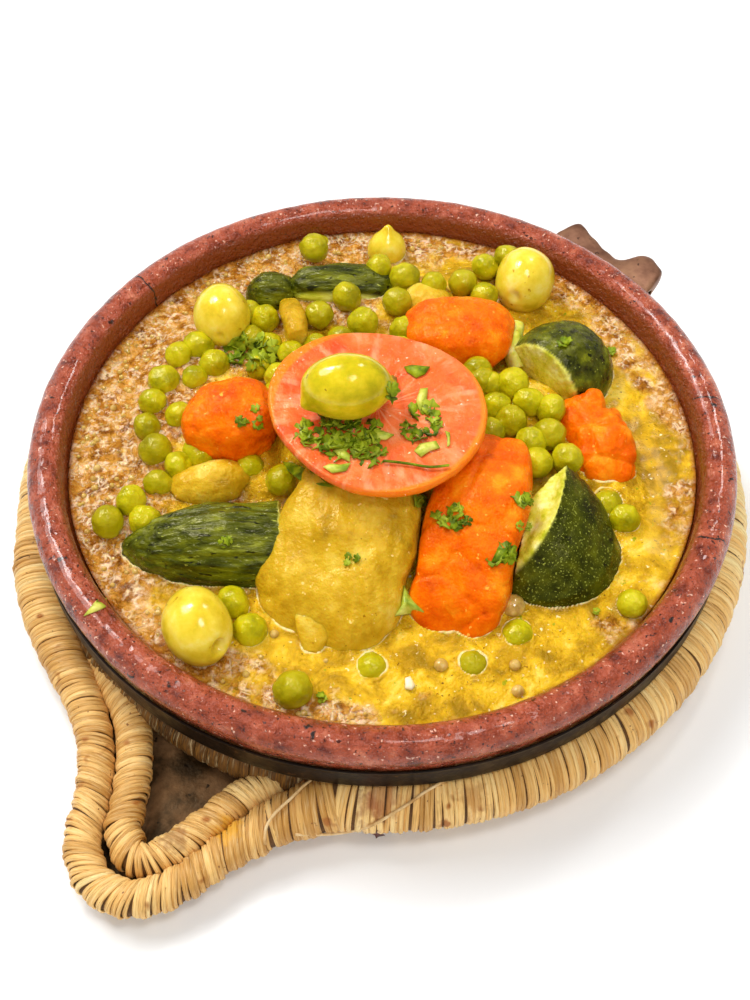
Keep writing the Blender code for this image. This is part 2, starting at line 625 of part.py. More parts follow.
def leaf(name, centre, length, turn, finish):
    """A thin wavy leaf, both faces split alike."""
    shape = bmesh.new()
    half_widths = (0.12, 0.28, 0.10)
    columns = len(half_widths) - 1
    faces = []
    for side in (-1, 1):
        rows = []
        for i in range(columns + 1):
            t = i / columns
            wave = LEAF_WAVE * math.sin(math.tau * t)
            rows.append([shape.verts.new((length * (t - 0.5), s * length * half_widths[i],
                                          wave * s + side * LEAF_THICK / 2)) for s in (-1, 1)])
        faces.append(rows)
    low, high = faces
    for i in range(columns):
        for rows in (low, high):
            shape.faces.new((rows[i][0], rows[i + 1][0], rows[i + 1][1], rows[i][1]))
        for s in (0, 1):
            shape.faces.new((low[i][s], low[i + 1][s], high[i + 1][s], high[i][s]))
    for i in (0, columns):
        shape.faces.new((low[i][0], low[i][1], high[i][1], high[i][0]))
    bmesh.ops.triangulate(shape, faces=shape.faces)
    place = Matrix.Translation(centre * MM) @ Matrix.Rotation(turn, 4, "Z") @ Matrix.Scale(MM, 4)
    bmesh.ops.transform(shape, matrix=place, verts=shape.verts)
    return add_object(name, mesh_from_bmesh(name, shape), finish)


def with_parsley(obj, finish, keep_clear):
    """Fuses the parsley that lies on obj to it, away from the round pieces that stand there."""
    draw = random.Random(obj.name)
    tree = BVHTree.FromObject(obj, bpy.context.evaluated_depsgraph_get())
    leaves = []
    for node, (cx, cy), (sx, sy), count, length in PARSLEY:
        if node != obj.name:
            continue
        for _ in range(count):
            angle, spread = draw.uniform(0, math.tau), math.sqrt(draw.random())
            x, y = cx + sx * spread * math.cos(angle), cy + sy * spread * math.sin(angle)
            size = length * draw.uniform(0.75, 1.15)
            turn = draw.uniform(0, math.tau)
            if any(math.hypot(x - kx, y - ky) < reach + size / 2 for kx, ky, reach in keep_clear):
                continue
            hit = tree.ray_cast(metres(x, y, 90), Vector((0, 0, -1)))[0]
            if hit:
                leaves.append(leaf(f"leaf_{len(leaves)}", hit / MM + Vector((0, 0, 0.1)), size, turn, finish))
    return combined(obj, leaves, "UNION", finish) if leaves else obj


def cut_to_fit(obj, others, finish):
    """Cuts obj off at the sauce and by the grown core and neighbours, all a gap away."""
    cuts = [under_sauce()] + core("core_cut", GAP, cutters) + [grown(other) for other in others]
    return combined(obj, cuts, "DIFFERENCE", finish)


def vegetables(finishes):
    """Every piece round the heap, each fitted to the core and to those made before it."""
    made = {}
    for name, (kind, power, sections) in BARS.items():
        made[name] = bar(name, power, sections, finishes[kind])
    for name, (kind, centre, half_sizes, turn) in ROUNDS.items():
        made[name] = ellipsoid(name, centre, half_sizes, turn, finishes[kind])
    made["zucchini_front_right"] = zucchini_front_right(finishes["zucchini"])
    made["zucchini_back_right"] = zucchini_back_right(finishes["zucchini"])
    order = [n for n in made if not n.startswith("potato_c")] + [n for n in made if n.startswith("potato_c")]
    fitted = []
    for name in order:
        obj = made[name]
        reach = bounds(obj)
        near = [other for other in fitted if overlap(reach, bounds(other))]
        made[name] = cut_to_fit(obj, near, obj.data.materials[0])
        fitted.append(made[name])
    return made


def bounds(obj):
    """The lowest and highest corners of obj's mesh."""
    points = [v.co for v in obj.data.vertices]
    return [[f(p[i] for p in points) for i in range(3)] for f in (min, max)]


def overlap(a, b, margin=2 * GAP * MM):
    """Whether two boxes meet."""
    return all(a[0][i] - margin < b[1][i] and b[0][i] - margin < a[1][i] for i in range(3))


def build():
    """Makes every piece in order, from the floor up."""
    finishes = make_materials()
    leather_base(finishes["leather"])
    trivet(finishes["palm"])
    dish(finishes["clay"])
    metal_hoop(finishes["sheet_metal"])
    hoop_tab(finishes["sheet_metal"])
    sauce(finishes["sauce"])
    pieces = vegetables(finishes)
    slice_object = with_parsley(tomato_slice(finishes["tomato"]), finishes["tomato"],
                                [(*TOMATO_OLIVE_CENTRE, TOMATO_OLIVE_HALF[0])])
    for name in ("carrot_front", "carrot_left", "zucchini_left"):
        pieces[name] = with_parsley(pieces[name], pieces[name].data.materials[0], [])
    ellipsoid("tomato_olive", (*TOMATO_OLIVE_CENTRE, TOMATO_TOP + GAP + TOMATO_OLIVE_HALF[2]),
              TOMATO_OLIVE_HALF, TOMATO_OLIVE_TURN, finishes["olive"])
    heap = pea_heap(finishes["pea"], list(pieces.values()) + [slice_object])
    combined(heap, [under_sauce()], "DIFFERENCE", finishes["pea"])


for leftover in list(bpy.data.objects):
    bpy.data.objects.remove(leftover)
parts = bpy.data.collections.new("tagine")
cutters = bpy.data.collections.new("cutters")
for group in (parts, cutters):
    bpy.context.scene.collection.children.link(group)
build()
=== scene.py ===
"""Looks for a small clay tagine dish of vegetable stew on a woven palm trivet with a looped handle.

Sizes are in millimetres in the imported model's frame, and MM turns them into metres. Pieces that the
photograph shows at a place are put there through the camera that took it, at the height of what
carries them.
"""

import functools
import logging
import math
import random
from dataclasses import dataclass
from enum import Enum
from typing import Any, Callable, Sequence

import bmesh
import bpy
import numpy as np
from mathutils import Euler, Matrix, Vector, noise
from mathutils.bvhtree import BVHTree


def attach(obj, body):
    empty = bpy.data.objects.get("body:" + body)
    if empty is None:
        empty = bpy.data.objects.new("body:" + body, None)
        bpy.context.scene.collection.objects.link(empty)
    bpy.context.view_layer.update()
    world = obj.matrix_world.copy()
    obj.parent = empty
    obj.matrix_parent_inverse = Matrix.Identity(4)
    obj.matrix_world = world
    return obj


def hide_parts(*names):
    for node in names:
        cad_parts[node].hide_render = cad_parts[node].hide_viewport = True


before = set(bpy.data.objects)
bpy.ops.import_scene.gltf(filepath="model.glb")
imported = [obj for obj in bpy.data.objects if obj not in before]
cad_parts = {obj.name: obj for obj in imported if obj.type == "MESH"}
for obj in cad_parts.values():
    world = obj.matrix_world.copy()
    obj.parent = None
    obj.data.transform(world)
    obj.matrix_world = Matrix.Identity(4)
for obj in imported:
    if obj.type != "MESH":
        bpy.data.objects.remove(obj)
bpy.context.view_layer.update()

MM = 0.001
SAUCE_LEVEL = 32.5
BODY = "root"

Point = tuple[float, float, float]
Flat = tuple[float, float]
Tree = bpy.types.NodeTree
Socket = bpy.types.NodeSocket
Thing = bpy.types.Object
log = logging.getLogger("tagine")


class Slot(Enum):
    """The record's material slots."""
    LEATHER = "leather"
    PALM = "palm"
    CLAY = "clay"
    METAL = "sheet_metal"
    SAUCE = "sauce"
    POTATO = "potato"
    CARROT = "carrot"
    ZUCCHINI = "zucchini"
    OLIVE = "olive"
    TOMATO = "tomato"
    PEA = "pea"


def linear(hex_colour: str) -> tuple[float, float, float, float]:
    """Turns an sRGB hex colour to linear RGBA.

    Args:
        hex_colour: The colour, as "#rrggbb".

    Returns:
        Red, green, blue and an alpha of 1.
    """
    channels = [int(hex_colour[i:i + 2], 16) / 255 for i in (1, 3, 5)]
    red, green, blue = (c / 12.92 if c <= 0.04045 else ((c + 0.055) / 1.055) ** 2.4 for c in channels)
    return red, green, blue, 1.0


def per(size_mm: float) -> float:
    """The texture scale that makes one feature about a given size in millimetres."""
    return 1.0 / (size_mm * MM)


def add(tree: Tree, kind: str, sockets: dict[Any, Any] | None = None,
        stops: Sequence[tuple[float, str]] = (), **settings: Any) -> bpy.types.Node:
    """Adds a node with its settings, values and links.

    Args:
        tree: The tree that gets the node.
        kind: The node's type.
        sockets: An input's name or number, and the value or the output that goes into it.
        stops: Positions and hex colours, for a colour ramp.
        **settings: The node's own properties.

    Returns:
        The new node.
    """
    node = tree.nodes.new(kind)
    for name, value in settings.items():
        setattr(node, name, value)
    for socket, value in (sockets or {}).items():
        if isinstance(value, Socket):
            tree.links.new(value, node.inputs[socket])
        else:
            node.inputs[socket].default_value = value
    if stops:
        elements = node.color_ramp.elements
        while len(elements) < len(stops):
            elements.new(1.0)
        for element, (position, colour) in zip(elements, stops):
            element.position, element.color = position, linear(colour)
    return node


@dataclass(frozen=True)
class Speck:
    """Small spots of another colour.

    Attributes:
        colour: Hex colour of the spots.
        size_mm: Distance between spots.
        level: Noise level over which a spot shows, higher for fewer.
    """
    colour: str
    size_mm: float
    level: float = 0.62


@dataclass(frozen=True)
class Finish:
    """A surface whose colour wanders between tones, with spots and fine relief.

    Attributes:
        name: The material's name.
        tones: Colours, from the noise's low end to its high end.
        patch_mm: Size of the patches of tone.
        specks: Spots over the tones.
        roughness: Least and greatest roughness.
        relief: Size and depth in millimetres of each layer of bumps.
        grain: How the pattern is stretched along each axis, below 1 for longer.
        coat: Share of a clear wet film.
        depth_mm: How deep light goes, or 0.
        metallic: Share of bare metal.
        ior: Its index of refraction.
        glint: Hex colour of what it mirrors.
        own: Hex colour that each copy leans to by its own tint, or none.
    """
    name: str
    tones: tuple[str, ...]
    patch_mm: float = 8.0
    specks: tuple[Speck, ...] = ()
    roughness: Flat = (0.3, 0.45)
    relief: tuple[Flat, ...] = ((2.0, 0.2),)
    grain: Point = (1.0, 1.0, 1.0)
    coat: float = 0.0
    depth_mm: float = 0.0
    metallic: float = 0.0
    ior: float = 1.45
    glint: str = "#ffffff"
    own: str = ""

    def place(self, tree: Tree) -> Socket:
        """Object coordinates, stretched along the grain."""
        coords = add(tree, "ShaderNodeTexCoord").outputs["Object"]
        return add(tree, "ShaderNodeMapping", {"Vector": coords, "Scale": self.grain}).outputs[0]

    def from_above(self, tree: Tree, place: Socket) -> Socket:
        """The same place with no height."""
        return add(tree, "ShaderNodeVectorMath", {0: place, 1: (1.0, 1.0, 0.0)}, operation="MULTIPLY").outputs[0]

    def toned(self, tree: Tree, place: Socket, tones: Sequence[str], size_mm: float) -> Socket:
        """Lays tones over a noise.

        Args:
            tree: The material's nodes.
            place: The coordinates of the pattern.
            tones: Hex colours, from low noise to high.
            size_mm: The patches' size.

        Returns:
            The colour.
        """
        patches = add(tree, "ShaderNodeTexNoise", {"Vector": place, "Scale": per(size_mm), "Detail": 5.0,
                                                   "Roughness": 0.6}).outputs["Fac"]
        low, high = 0.32, 0.68
        stops = [(low + (high - low) * i / max(len(tones) - 1, 1), tone) for i, tone in enumerate(tones)]
        return add(tree, "ShaderNodeValToRGB", {"Fac": patches}, stops).outputs["Color"]

    def spotted(self, tree: Tree, place: Socket, colour: Socket) -> Socket:
        """Adds the finish's spots to a colour."""
        for number, speck in enumerate(self.specks):
            shifted = add(tree, "ShaderNodeMapping", {"Vector": place, "Location": (number + 1.0,) * 3})
            dots = add(tree, "ShaderNodeTexNoise", {"Vector": shifted.outputs[0], "Scale": per(speck.size_mm),
                                                    "Detail": 2.0}).outputs["Fac"]
            mask = add(tree, "ShaderNodeMapRange", {"Value": dots, "From Min": speck.level,
                                                    "From Max": speck.level + 0.05}).outputs[0]
            colour = add(tree, "ShaderNodeMix", {0: mask, 6: colour, 7: linear(speck.colour)},
                         data_type="RGBA").outputs[2]
        return colour

    def blotched(self, tree: Tree, place: Socket, colour: Socket, blots: Sequence[tuple[Flat, float, str]],
                 bend_mm: float, edge: Flat, share: float) -> Socket:
        """Lays round blots with uneven edges over a colour.

        Args:
            tree: The material's nodes.
            place: The coordinates of the pattern.
            colour: The colour under them.
            blots: Centre, radius and hex colour of each, seen from above.
            bend_mm: The size of the bends in their edges.
            edge: How far outside its radius a blot starts to show, and how far inside it is full.
            share: How much a blot covers.

        Returns:
            The colour.
        """
        flat = self.from_above(tree, place)
        wander = add(tree, "ShaderNodeTexNoise", {"Vector": place, "Scale": per(bend_mm), "Detail": 3.0}).outputs["Fac"]
        sway = add(tree, "ShaderNodeMapRange", {"Value": wander, "To Min": -5 * MM, "To Max": 5 * MM}).outputs[0]
        for (x, y), reach, blot in blots:
            away = add(tree, "ShaderNodeVectorMath", {0: flat, 1: (x * MM, y * MM, 0.0)}, operation="DISTANCE")
            away = add(tree, "ShaderNodeMath", {0: away.outputs["Value"], 1: sway}, operation="ADD").outputs[0]
            mask = add(tree, "ShaderNodeMapRange", {"Value": away, "From Min": (reach + edge[0]) * MM,
                                                    "From Max": (reach - edge[1]) * MM, "To Max": share}).outputs[0]
            colour = add(tree, "ShaderNodeMix", {0: mask, 6: colour, 7: linear(blot)}, data_type="RGBA").outputs[2]
        return colour

    def colour(self, tree: Tree, place: Socket) -> Socket:
        """The surface's colour."""
        colour = self.spotted(tree, place, self.toned(tree, place, self.tones, self.patch_mm))
        if self.own:
            tint = add(tree, "ShaderNodeAttribute", attribute_name="tint").outputs["Fac"]
            colour = add(tree, "ShaderNodeMix", {0: tint, 6: colour, 7: linear(self.own)}, data_type="RGBA").outputs[2]
        return colour

    def bumps(self, tree: Tree, place: Socket) -> Socket | None:
        """The surface's normal, bent by each layer of relief."""
        normal = None
        for size, depth in self.relief:
            height = add(tree, "ShaderNodeTexNoise", {"Vector": place, "Scale": per(size), "Detail": 3.0})
            sockets = {"Height": height.outputs["Fac"], "Distance": depth * MM}
            if normal:
                sockets["Normal"] = normal
            normal = add(tree, "ShaderNodeBump", sockets).outputs[0]
        return normal

    def build(self) -> bpy.types.Material:
        """Makes the material.

        Returns:
            A material with one Principled shader.
        """
        material = bpy.data.materials.new(self.name)
        material.use_nodes = True
        tree = material.node_tree
        tree.nodes.clear()
        place = self.place(tree)
        worn = add(tree, "ShaderNodeTexNoise", {"Vector": place, "Scale": per(self.patch_mm * 0.6), "Detail": 4.0})
        rough = add(tree, "ShaderNodeMapRange", {"Value": worn.outputs["Fac"], "From Min": 0.35, "From Max": 0.65,
                                                 "To Min": self.roughness[0], "To Max": self.roughness[1]})
        sockets = {"Base Color": self.colour(tree, place), "Roughness": rough.outputs[0],
                   "Metallic": self.metallic, "IOR": self.ior, "Coat Weight": self.coat, "Coat Roughness": 0.06,
                   "Specular Tint": linear(self.glint)}
        normal = self.bumps(tree, place)
        if normal:
            sockets["Normal"] = normal
        if self.depth_mm:
            sockets |= {"Subsurface Weight": 0.6, "Subsurface Scale": self.depth_mm * MM,
                        "Subsurface Radius": (1.0, 0.55, 0.2)}
        shader = add(tree, "ShaderNodeBsdfPrincipled", sockets)
        add(tree, "ShaderNodeOutputMaterial", {"Surface": shader.outputs[0]})
        return material


@dataclass(frozen=True)
class ZucchiniSkin(Finish):
    """Zucchini skin that turns into flesh where the mesh's flesh attribute says so.

    Attributes:
        flesh_mm: The size of the flesh's patches.
    """
    flesh_mm: float = 4.0

    def colour(self, tree: Tree, place: Socket) -> Socket:
        """The surface's colour."""
        skin = self.spotted(tree, place, self.toned(tree, place, self.tones, self.patch_mm))
        flesh = self.toned(tree, place, ZUCCHINI_FLESH, self.flesh_mm)
        mask = add(tree, "ShaderNodeAttribute", attribute_name="flesh").outputs["Fac"]
        return add(tree, "ShaderNodeMix", {0: mask, 6: skin, 7: flesh}, data_type="RGBA").outputs[2]


@dataclass(frozen=True)
class OilyBroth(Finish):
    """Stew broth: swirled oil, with patches of froth whose pale films stand round amber bubbles.

    Attributes:
        froth: Colours inside the bubbles.
        film: Hex colour of the films between them: pale froth, partly a painted highlight on each bubble's rim.
        bubble_mm: The bubbles' size.
        foot: Hex colour of the painted highlight on the meniscus at the foot of the food.
        wall: Radius where the broth darkens to its edge, and the edge's hex colour: painted shade where the broth meets
            the dish wall.
    """
    froth: tuple[str, ...] = ("#7c3e0c", "#b06e1e", "#d4963c", "#e8b878")
    film: str = "#f8d8b0"
    bubble_mm: float = 2.7
    foot: str = "#fbe6ac"
    wall: tuple[float, str] = (96.3, "#94480f")

    def toned(self, tree: Tree, place: Socket, tones: Sequence[str], size_mm: float) -> Socket:
        """Lays tones over swirls."""
        swirls = add(tree, "ShaderNodeTexNoise", {"Vector": place, "Scale": per(size_mm), "Detail": 5.0,
                                                  "Roughness": 0.6, "Distortion": 0.5}).outputs["Fac"]
        stops = [(0.34 + 0.32 * i / (len(tones) - 1), tone) for i, tone in enumerate(tones)]
        return add(tree, "ShaderNodeValToRGB", {"Fac": swirls}, stops).outputs["Color"]

    def bubbles(self, tree: Tree, place: Socket) -> Socket:
        """From 0 on the films between bubbles to 1 inside them."""
        wander = add(tree, "ShaderNodeTexNoise", {"Vector": place, "Scale": per(4.5), "Detail": 3.0}).outputs["Color"]
        bent = add(tree, "ShaderNodeVectorMath", {0: wander, 1: (8.0 * MM,) * 3, 2: place},
                   operation="MULTIPLY_ADD").outputs[0]
        gap = add(tree, "ShaderNodeTexVoronoi", {"Vector": bent, "Scale": per(self.bubble_mm)},
                  feature="DISTANCE_TO_EDGE").outputs["Distance"]
        return add(tree, "ShaderNodeMapRange", {"Value": gap, "From Min": 0.0, "From Max": 0.3},
                   interpolation_type="SMOOTHSTEP").outputs[0]

    def frothy(self, tree: Tree, place: Socket) -> Socket:
        """Where froth lies: patches of the mesh's foam."""
        foam = add(tree, "ShaderNodeAttribute", attribute_name="foam").outputs["Fac"]
        patch = add(tree, "ShaderNodeTexNoise", {"Vector": place, "Scale": per(6.0), "Detail": 5.0}).outputs["Fac"]
        both = add(tree, "ShaderNodeMath", {0: foam, 1: patch}, operation="ADD").outputs[0]
        return add(tree, "ShaderNodeMapRange", {"Value": both, "From Min": 0.95, "From Max": 1.25,
                                                "To Max": 0.95}).outputs[0]

    def colour(self, tree: Tree, place: Socket) -> Socket:
        """The surface's colour."""
        clear = self.spotted(tree, place, self.toned(tree, place, self.tones, self.patch_mm))
        inside = self.toned(tree, place, self.froth, 5.0)
        torn = add(tree, "ShaderNodeTexNoise", {"Vector": place, "Scale": per(2.6), "Detail": 2.0}).outputs["Fac"]
        torn = add(tree, "ShaderNodeMapRange", {"Value": torn, "From Min": 0.62, "From Max": 0.46}).outputs[0]
        torn = add(tree, "ShaderNodeMath", {0: torn, 1: self.bubbles(tree, place)}, operation="MAXIMUM").outputs[0]
        # The pale films are the froth's own colour and partly a painted highlight on the bubbles' rims.
        net = add(tree, "ShaderNodeMix", {0: torn, 6: linear(self.film), 7: inside}, data_type="RGBA").outputs[2]
        colour = add(tree, "ShaderNodeMix", {0: self.frothy(tree, place), 6: clear, 7: net},
                     data_type="RGBA").outputs[2]
        # Painted shade: the broth darkens in a ring where it meets the dish wall.
        flat = self.from_above(tree, place)
        radius = add(tree, "ShaderNodeVectorMath", {0: flat}, operation="LENGTH").outputs["Value"]
        edge = add(tree, "ShaderNodeMapRange", {"Value": radius, "From Min": self.wall[0] * MM,
                                                "From Max": (self.wall[0] + 1.5) * MM, "To Max": 0.8}).outputs[0]
        colour = add(tree, "ShaderNodeMix", {0: edge, 6: colour, 7: linear(self.wall[1])}, data_type="RGBA").outputs[2]
        # Painted highlight: a thin, broken pale ring on the meniscus round the food, from the mesh's foot attribute.
        near = add(tree, "ShaderNodeAttribute", attribute_name="foot").outputs["Fac"]
        broken = add(tree, "ShaderNodeTexNoise", {"Vector": place, "Scale": per(8.0), "Detail": 3.0}).outputs["Fac"]
        near = add(tree, "ShaderNodeMath", {0: near, 1: broken}, operation="MULTIPLY").outputs[0]
        line = add(tree, "ShaderNodeMapRange", {"Value": near, "From Min": 0.33, "From Max": 0.46,
                                                "To Max": 0.8}).outputs[0]
        return add(tree, "ShaderNodeMix", {0: line, 6: colour, 7: linear(self.foot)}, data_type="RGBA").outputs[2]

    def bumps(self, tree: Tree, place: Socket) -> Socket:
        """Ripples, and a dome over each bubble."""
        domes = add(tree, "ShaderNodeMath", {0: self.bubbles(tree, place), 1: self.frothy(tree, place)},
                    operation="MULTIPLY").outputs[0]
        return add(tree, "ShaderNodeBump", {"Height": domes, "Distance": 0.7 * MM,
                                            "Normal": super().bumps(tree, place)}).outputs[0]


@dataclass(frozen=True)
class GlazedClay(Finish):
    """Low-fired red clay with a thin clear glaze: shiny and pitted; the inner lip is wet, its colour partly a broth
    stain and partly painted shade under the rolled rim.

    Attributes:
        lip: Hex colour of the wet inner lip, partly a broth stain and partly painted shade under the rolled rim.
        lip_radius: Radius where the lip gives way to the plain rim.
        cracks: The ends of each crack, in millimetres, seen from above.
    """
    lip: str = "#8a3c14"
    lip_radius: float = 99.6
    cracks: tuple[tuple[Flat, Flat], ...] = ()

    def colour(self, tree: Tree, place: Socket) -> Socket:
        """The surface's colour."""
        colour = self.spotted(tree, place, self.toned(tree, place, self.tones, self.patch_mm))
        flat = self.from_above(tree, place)
        radius = add(tree, "ShaderNodeVectorMath", {0: flat}, operation="LENGTH").outputs["Value"]
        # The inner lip is painted darker: partly a broth stain, partly painted shade under the rolled rim.
        lip = add(tree, "ShaderNodeMapRange", {"Value": radius, "From Min": (self.lip_radius + 1.2) * MM,
                                               "From Max": self.lip_radius * MM}).outputs[0]
        colour = add(tree, "ShaderNodeMix", {0: lip, 6: colour, 7: linear(self.lip)}, data_type="RGBA").outputs[2]
        wander = add(tree, "ShaderNodeTexNoise", {"Vector": place, "Scale": per(4.0), "Detail": 3.0}).outputs["Fac"]
        sway = add(tree, "ShaderNodeMapRange", {"Value": wander, "To Min": -1.5 * MM, "To Max": 1.5 * MM}).outputs[0]
        for (x0, y0), (x1, y1) in self.cracks:
            reach = math.hypot(x1 - x0, y1 - y0) / 2
            turned = add(tree, "ShaderNodeMapping",
                         {"Vector": flat, "Location": ((x0 + x1) / 2 * MM, (y0 + y1) / 2 * MM, 0.0),
                          "Rotation": (0.0, 0.0, math.atan2(y1 - y0, x1 - x0))}, vector_type="TEXTURE").outputs[0]
            parts = add(tree, "ShaderNodeSeparateXYZ", {0: turned})
            off = add(tree, "ShaderNodeMath", {0: parts.outputs["Y"], 1: sway}, operation="ADD").outputs[0]
            off = add(tree, "ShaderNodeMath", {0: off}, operation="ABSOLUTE").outputs[0]
            near = add(tree, "ShaderNodeMapRange", {"Value": off, "From Min": 0.45 * MM,
                                                    "From Max": 0.15 * MM}).outputs[0]
            along = add(tree, "ShaderNodeMath", {0: parts.outputs["X"]}, operation="ABSOLUTE").outputs[0]
            within = add(tree, "ShaderNodeMapRange", {"Value": along, "From Min": reach * MM,
                                                      "From Max": (reach - 1.0) * MM}).outputs[0]
            mask = add(tree, "ShaderNodeMath", {0: near, 1: within}, operation="MULTIPLY").outputs[0]
            colour = add(tree, "ShaderNodeMix", {0: mask, 6: colour, 7: linear("#1c0c06")}, data_type="RGBA").outputs[2]
        return colour


@dataclass(frozen=True)
class PalmStrip(Finish):
    """Dried palm leaf split into strips: satin, with lengthwise fibres, each strip its own tone.

    Attributes:
        stains: Centre, radius and hex colour of each spill on the strips, seen from above.
    """
    stains: tuple[tuple[Flat, float, str], ...] = ()

    def colour(self, tree: Tree, place: Socket) -> Socket:
        """Each strip's tone, streaked along its fibres and stained in places."""
        tint = add(tree, "ShaderNodeAttribute", attribute_name="tint").outputs["Fac"]
        stops = [(i / (len(self.tones) - 1), tone) for i, tone in enumerate(self.tones)]
        tone = add(tree, "ShaderNodeValToRGB", {"Fac": tint}, stops).outputs["Color"]
        streak = self.streaks(tree)
        dark = add(tree, "ShaderNodeMapRange", {"Value": streak, "From Min": 0.52, "From Max": 0.72,
                                                "To Max": 0.75}).outputs[0]
        tone = add(tree, "ShaderNodeMix", {0: dark, 6: tone, 7: linear("#a8742f")}, data_type="RGBA").outputs[2]
        pale = add(tree, "ShaderNodeMapRange", {"Value": streak, "From Min": 0.46, "From Max": 0.3,
                                                "To Max": 0.6}).outputs[0]
        tone = add(tree, "ShaderNodeMix", {0: pale, 6: tone, 7: linear("#f6dca4")}, data_type="RGBA").outputs[2]
        return self.spotted(tree, place, self.blotched(tree, place, tone, self.stains, 3.0, (1.0, 1.5), 0.55))

    def streaks(self, tree: Tree) -> Socket:
        """Noise drawn out along each strip, another one on each."""
        fibre = add(tree, "ShaderNodeAttribute", attribute_name="fibre").outputs["Vector"]
        tint = add(tree, "ShaderNodeAttribute", attribute_name="tint").outputs["Fac"]
        own = add(tree, "ShaderNodeMath", {0: tint, 1: 91.0}, operation="MULTIPLY").outputs[0]
        moved = add(tree, "ShaderNodeVectorMath", {0: fibre, 1: own}, operation="ADD").outputs[0]
        return add(tree, "ShaderNodeTexNoise", {"Vector": moved, "Scale": 1.0, "Detail": 3.0}).outputs["Fac"]

    def bumps(self, tree: Tree, place: Socket) -> Socket:
        """Fine ridges along the fibres."""
        return add(tree, "ShaderNodeBump", {"Height": self.streaks(tree), "Distance": 0.35 * MM}).outputs[0]


@dataclass(frozen=True)
class TomatoFlesh(Finish):
    """Raw-ripe tomato warmed through: salmon flesh with pale radial streaks and an orange skin edge.

    Attributes:
        centre: The slice's centre.
        radius: The slice's radius.
        gel: Centre, radius and hex colour of the redder patches.
    """
    centre: Flat = (0.0, 0.0)
    radius: float = 32.0
    gel: tuple[tuple[Flat, float, str], ...] = ()

    def colour(self, tree: Tree, place: Socket) -> Socket:
        """The flesh's colour, by radius and along the streaks."""
        cx, cy = self.centre
        flat = self.from_above(tree, place)
        level = add(tree, "ShaderNodeMapping", {"Vector": flat, "Location": (-cx * MM, -cy * MM, 0.0)}).outputs[0]
        radius = add(tree, "ShaderNodeVectorMath", {0: level}, operation="LENGTH").outputs["Value"]
        heading = add(tree, "ShaderNodeVectorMath", {0: level}, operation="NORMALIZE").outputs[0]
        rays = add(tree, "ShaderNodeVectorMath", {0: heading, "Scale": 4.5}, operation="SCALE").outputs[0]
        far = add(tree, "ShaderNodeMath", {0: radius, 1: per(16.0)}, operation="MULTIPLY").outputs[0]
        spread = add(tree, "ShaderNodeCombineXYZ", {"Z": far}).outputs[0]
        streaked = add(tree, "ShaderNodeVectorMath", {0: rays, 1: spread}, operation="ADD").outputs[0]
        streak = add(tree, "ShaderNodeTexNoise", {"Vector": streaked, "Scale": 1.6, "Detail": 4.0}).outputs["Fac"]
        colour = self.toned(tree, place, self.tones, self.patch_mm)
        pale = add(tree, "ShaderNodeMapRange", {"Value": streak, "From Min": 0.5, "From Max": 0.68,
                                                "To Max": 0.6}).outputs[0]
        colour = add(tree, "ShaderNodeMix", {0: pale, 6: colour, 7: linear("#fbb488")}, data_type="RGBA").outputs[2]
        colour = self.blotched(tree, place, colour, self.gel, 5.0, (2.5, 2.5), 0.85)
        edge = add(tree, "ShaderNodeMapRange", {"Value": radius, "From Min": (self.radius - 1.6) * MM,
                                                "From Max": (self.radius - 0.6) * MM}).outputs[0]
        colour = add(tree, "ShaderNodeMix", {0: edge, 6: colour, 7: linear("#f5861c")}, data_type="RGBA").outputs[2]
        return self.spotted(tree, place, colour)


# Glazed red earthenware: the glaze is thin, so the grog's pits and pale flecks show through its shine
CLAY = GlazedClay("glazed_red_clay", ("#661c08", "#983e20", "#b05032", "#cc7454"), patch_mm=6.0,
                  specks=(Speck("#4a160a", 1.2, 0.63), Speck("#f0bda4", 1.3, 0.665), Speck("#260d05", 4.0, 0.70)),
                  roughness=(0.12, 0.3), relief=((1.6, 1.4), (0.7, 0.7)), coat=0.35,
                  cracks=(((-84.5, 66.5), (-76.0, 59.0)), ((-76.5, 59.5), (-69.0, 52.0)),
                          ((101.5, -40.6), (92.0, -39.0)), ((107.6, 13.5), (98.0, 14.7))))
# Thin mild steel sheet browned by smoke and heat: dull, with a satin sheen where it is bent
TAB_SHEET = Finish("browned_sheet_tab", ("#6b4430", "#8a6048", "#9c7254"), 9.0, (Speck("#3c2116", 2.2, 0.66),),
                   (0.38, 0.55), ((6.0, 0.25), (0.9, 0.05)), metallic=0.55)
HOOP_SHEET = Finish("smoked_sheet_hoop", ("#0e0703", "#1c1007", "#2e1d0f"), 8.0, (Speck("#54391f", 2.0, 0.68),),
                    (0.34, 0.55), ((5.0, 0.3), (1.0, 0.08)), metallic=0.6)
# Palm leaf, dried and split: satin along its fibres, each strip its own gold, stained in places
PALM = PalmStrip("dried_palm_strip", ("#ce984c", "#f2c070", "#fdd488", "#ffe6a4"), 10.0,
                 (Speck("#b4702e", 9.0, 0.68), Speck("#8a5222", 1.6, 0.71)), (0.38, 0.58),
                 stains=(((-41.0, -118.5), 4.0, "#f0b008"), ((-56.0, -121.0), 3.5, "#8a4a1c"),
                         ((-63.0, -110.0), 3.0, "#9c5a2a"), ((1.0, -112.0), 4.5, "#a04a1c"),
                         ((-3.0, -114.0), 3.0, "#96401a"), ((26.0, -111.0), 3.5, "#b8762c")))
# The same leaf on the inner ring under the dish, its dark brown a painted shade for the shadow of the dish: duller,
# with little gold left
PALM_SHADED = PalmStrip("smoked_palm_strip", ("#2c1c0c", "#442c14", "#5a3c1c", "#745028"), 10.0, (), (0.5, 0.7))
# Palm fibre inside the coils: dull, and painted dark as the shade in the gaps between strips where it shows
PALM_CORE = Finish("shaded_palm_core", ("#4a3016", "#6e4a22"), 5.0, (), (0.7, 0.85), ((1.0, 0.2),))
